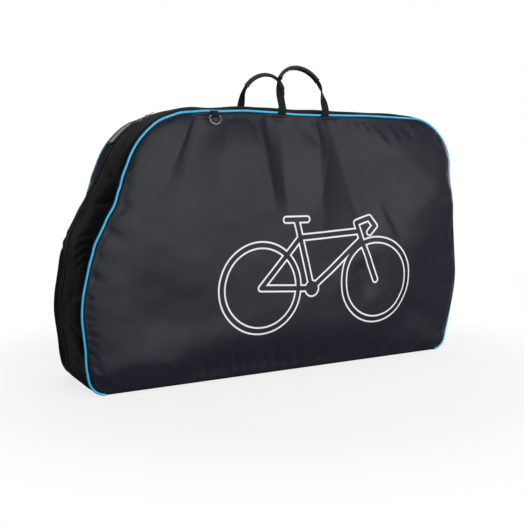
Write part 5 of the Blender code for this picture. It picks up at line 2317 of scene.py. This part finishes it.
# Folds of the front cover, as x and z. Most run downwards, so their left-hand side is the bag's right.
# A row holds start, end, widths at both, lift in millimetres, fades at both ends, skew and crispness.
FRONT_CREASES = tuple(Crease(*row) for row in (
    ((-0.286, 0.766), (-0.390, 0.480), (0.024, 0.040), -17.0, (0.06, 0.55), 2.2, 0.8),
    ((-0.310, 0.766), (-0.372, 0.600), (0.008, 0.012), -2.4, (0.10, 0.50), 1.6, 0.3),
    ((-0.050, 0.768), (-0.030, 0.430), (0.060, 0.026), -25.0, (0.10, 0.50), 2.6, 0.85),
    ((-0.098, 0.768), (-0.084, 0.640), (0.010, 0.014), -4.5, (0.10, 0.60), 1.8, 0.6),
    ((0.000, 0.768), (0.054, 0.680), (0.007, 0.009), -4.2, (0.10, 0.45), 1.4, 0.5),
    ((0.026, 0.768), (0.074, 0.665), (0.007, 0.010), -4.2, (0.10, 0.45), 1.4, 0.5),
    ((0.070, 0.768), (0.100, 0.620), (0.006, 0.010), 2.4, (0.05, 0.60), 1.0, 0.5),
    ((0.112, 0.768), (0.285, 0.290), (0.030, 0.150), -27.0, (0.05, 0.62), 2.2, 0.85),
    ((0.175, 0.530), (0.295, 0.400), (0.016, 0.022), -5.0, (0.50, 0.50), 2.6, 0.3),
    ((0.302, 0.545), (0.412, 0.340), (0.016, 0.022), -6.5, (0.50, 0.50), 2.4, 0.3),
    ((0.276, 0.530), (0.376, 0.345), (0.014, 0.018), 2.0, (0.50, 0.50)),
    ((0.700, 0.660), (0.260, 0.330), (0.080, 0.090), 15.0, (0.30, 0.45), 1.9, 0.2),
    ((0.780, 0.440), (0.540, 0.020), (0.210, 0.180), -24.0, (0.20, 0.20), 0.4, 0.3),
    ((0.215, 0.330), (0.275, 0.190), (0.030, 0.034), -6.0, (0.30, 0.50), 2.0, 0.5),
    ((0.120, 0.330), (0.200, 0.180), (0.040, 0.050), 4.0, (0.30, 0.50)),
    ((0.620, 0.640), (0.560, 0.470), (0.030, 0.040), -4.0, (0.30, 0.50)),
    ((0.700, 0.245), (0.560, 0.215), (0.018, 0.030), -5.0, (0.02, 0.60)),
    ((0.700, 0.345), (0.570, 0.330), (0.016, 0.030), -3.5, (0.02, 0.60)),
    ((0.470, 0.180), (0.360, 0.050), (0.040, 0.060), -7.0, (0.20, 0.40), 1.8, 0.4),
    ((-0.560, 0.205), (-0.160, 0.180), (0.045, 0.060), -5.5, (0.25, 0.40), 2.0),
    ((-0.700, 0.000), (-0.320, 0.000), (0.090, 0.090), 9.0, (0.05, 0.35)),
    ((-0.340, 0.030), (0.260, 0.060), (0.060, 0.060), -3.0, (0.25, 0.30), 0.8),
    ((-0.650, 0.088), (-0.588, 0.080), (0.005, 0.007), -1.2, (0.05, 0.80)),
    ((-0.650, 0.120), (-0.580, 0.110), (0.005, 0.008), -1.5, (0.05, 0.80)),
    ((-0.652, 0.149), (-0.600, 0.146), (0.004, 0.006), -1.6, (0.05, 0.80)),
    ((-0.653, 0.170), (-0.586, 0.160), (0.005, 0.007), -2.0, (0.05, 0.80)),
    ((-0.654, 0.196), (-0.602, 0.192), (0.004, 0.006), -1.8, (0.05, 0.80)),
    ((-0.654, 0.214), (-0.594, 0.203), (0.004, 0.006), -1.8, (0.05, 0.80)),
    ((-0.654, 0.240), (-0.606, 0.236), (0.004, 0.006), -1.5, (0.05, 0.80)),
    ((-0.650, 0.270), (-0.596, 0.260), (0.005, 0.007), -1.2, (0.05, 0.80)),
    ((-0.640, 0.335), (-0.575, 0.300), (0.010, 0.016), -2.4, (0.05, 0.60)),
    ((-0.585, 0.450), (-0.520, 0.400), (0.012, 0.020), -2.6, (0.05, 0.60)),
))
# Short pulls that rise from the front cover's hem: place, lean, rise and strength
HEM_PUCKERS = tuple(
    Crease((x - lean, -0.020), (x + lean, 0.066 + rise), (0.007, 0.011), -1.9 * lift, (0.45, 0.55), 0.7)
    for x, lean, rise, lift in (
        (-0.300, -0.006, 0.030, 2.2), (-0.268, 0.004, 0.040, 3.0), (-0.236, 0.008, 0.026, 2.6),
        (-0.205, -0.003, 0.044, 3.4), (-0.170, 0.008, 0.034, 3.0), (-0.140, 0.003, 0.050, 3.4),
        (-0.104, 0.010, 0.036, 2.8), (-0.070, 0.002, 0.046, 3.2), (-0.034, 0.008, 0.030, 2.6),
        (0.004, 0.003, 0.040, 2.8), (0.044, 0.008, 0.030, 2.4), (0.088, 0.000, 0.034, 2.4),
        (0.150, 0.006, 0.024, 1.8), (0.240, -0.004, 0.022, 1.5), (0.340, 0.008, 0.026, 2.0),
        (-0.380, 0.005, 0.022, 1.8),
    )
)
# Folds of the back cover, in rows like those of the front one
BACK_CREASES = tuple(Crease(*row) for row in (
    ((0.300, 0.766), (0.360, 0.540), (0.014, 0.026), -5.5, (0.10, 0.55), 0.6),
    ((-0.040, 0.768), (-0.070, 0.450), (0.030, 0.045), -6.5, (0.10, 0.50), 1.8),
    ((0.105, 0.768), (0.120, 0.520), (0.020, 0.040), -6.0, (0.10, 0.50), 0.5),
    ((-0.420, 0.700), (-0.330, 0.500), (0.030, 0.040), -4.0, (0.20, 0.50)),
    ((0.420, 0.120), (-0.300, 0.062), (0.030, 0.034), -4.5, (0.25, 0.30), 0.5),
    ((-0.610, 0.260), (-0.430, 0.300), (0.022, 0.036), -4.0, (0.05, 0.60)),
))
# Folds of the side bands. A row is a fold from the seam: its start and end along the outline, the depth at
# its end, its widths and its lift.
FRONT_BAND_CREASES = tuple(
    Crease((start, -0.122), (end, depth), width, lift, (0.10, 0.40)) for start, end, depth, width, lift in (
        (0.470, 0.440, -0.035, (0.006, 0.008), -4.8), (0.446, 0.410, -0.030, (0.006, 0.008), -5.4),
        (0.424, 0.386, -0.040, (0.006, 0.008), -4.8), (0.398, 0.362, -0.050, (0.005, 0.007), -3.8),
        (0.560, 0.548, -0.040, (0.010, 0.014), -6.4), (0.620, 0.640, -0.030, (0.008, 0.012), -4.2),
        (0.300, 0.290, -0.020, (0.010, 0.014), -3.8), (0.200, 0.214, -0.030, (0.010, 0.012), -3.2),
        (0.130, 0.120, -0.050, (0.008, 0.012), -3.8),
    )
)
BACK_BAND_CREASES = (
    Crease((0.010, 0.100), (0.560, 0.096), (0.022, 0.020), 6.5, (0.08, 0.50)),
    *(Crease((start, 0.120), (end, depth), width, lift, (0.10, 0.40)) for start, end, depth, width, lift in (
        (0.450, 0.430, 0.055, (0.007, 0.010), -3.0), (0.420, 0.400, 0.060, (0.006, 0.009), -2.6),
        (0.560, 0.556, 0.060, (0.010, 0.014), -3.5), (2.080, 2.060, 0.060, (0.010, 0.014), -3.0),
    )),
)
# How far the back piping stands proud of its seam, along the left end and the shoulder
BACK_PROUD_MM = Profile(((0.48, 0.0), (0.60, 2.8), (0.98, 2.8), (1.12, 0.0)))


def main() -> None:
    """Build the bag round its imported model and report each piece."""
    logging.basicConfig(level=logging.INFO, format="%(name)s: %(message)s")
    bpy.context.scene.view_settings.view_transform = "Standard"
    form = BagForm(SeamLine())
    front_folds = (*FRONT_CREASES, *HEM_PUCKERS, Ripple(1.2, 0.30, 3), Ripple(0.4, 0.11, 5))
    back_folds = (*BACK_CREASES, Ripple(1.4, 0.30, 7), Ripple(0.4, 0.11, 9))
    panels = (
        PaddedPanel(form, Side.FRONT, front_folds),
        PaddedPanel(form, Side.BACK, back_folds, proud_mm=BACK_PROUD_MM),
    )
    parts = (
        *panels,
        SideBand(form, Side.FRONT, (*FRONT_BAND_CREASES, Ripple(0.9, 0.16, 10))),
        SideBand(form, Side.BACK, (*BACK_BAND_CREASES, Ripple(0.9, 0.16, 12))),
        BaseCover(form), ZipChain(form), CarryHandle(form, Side.FRONT), CarryHandle(form, Side.BACK),
        TabbedRing(Side.FRONT, (-0.261968, -0.138102, 0.749997)),
        TabbedRing(Side.BACK, (0.327968, 0.138106, 0.749996)),
        AddressHolder(form), *(WheelPocket(panel) for panel in panels), BasePad(),
        FrameStrap("left", -0.250), FrameStrap("right", 0.250), Hardware(),
    )
    for part in parts:
        part.build()
    Studio().build()
    boxes = {"cad": CAD_BOX, "visual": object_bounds()}
    {name: [[float(value) for value in corner] for corner in box] for name, box in boxes.items()}


if __name__ == "__main__":
    main()
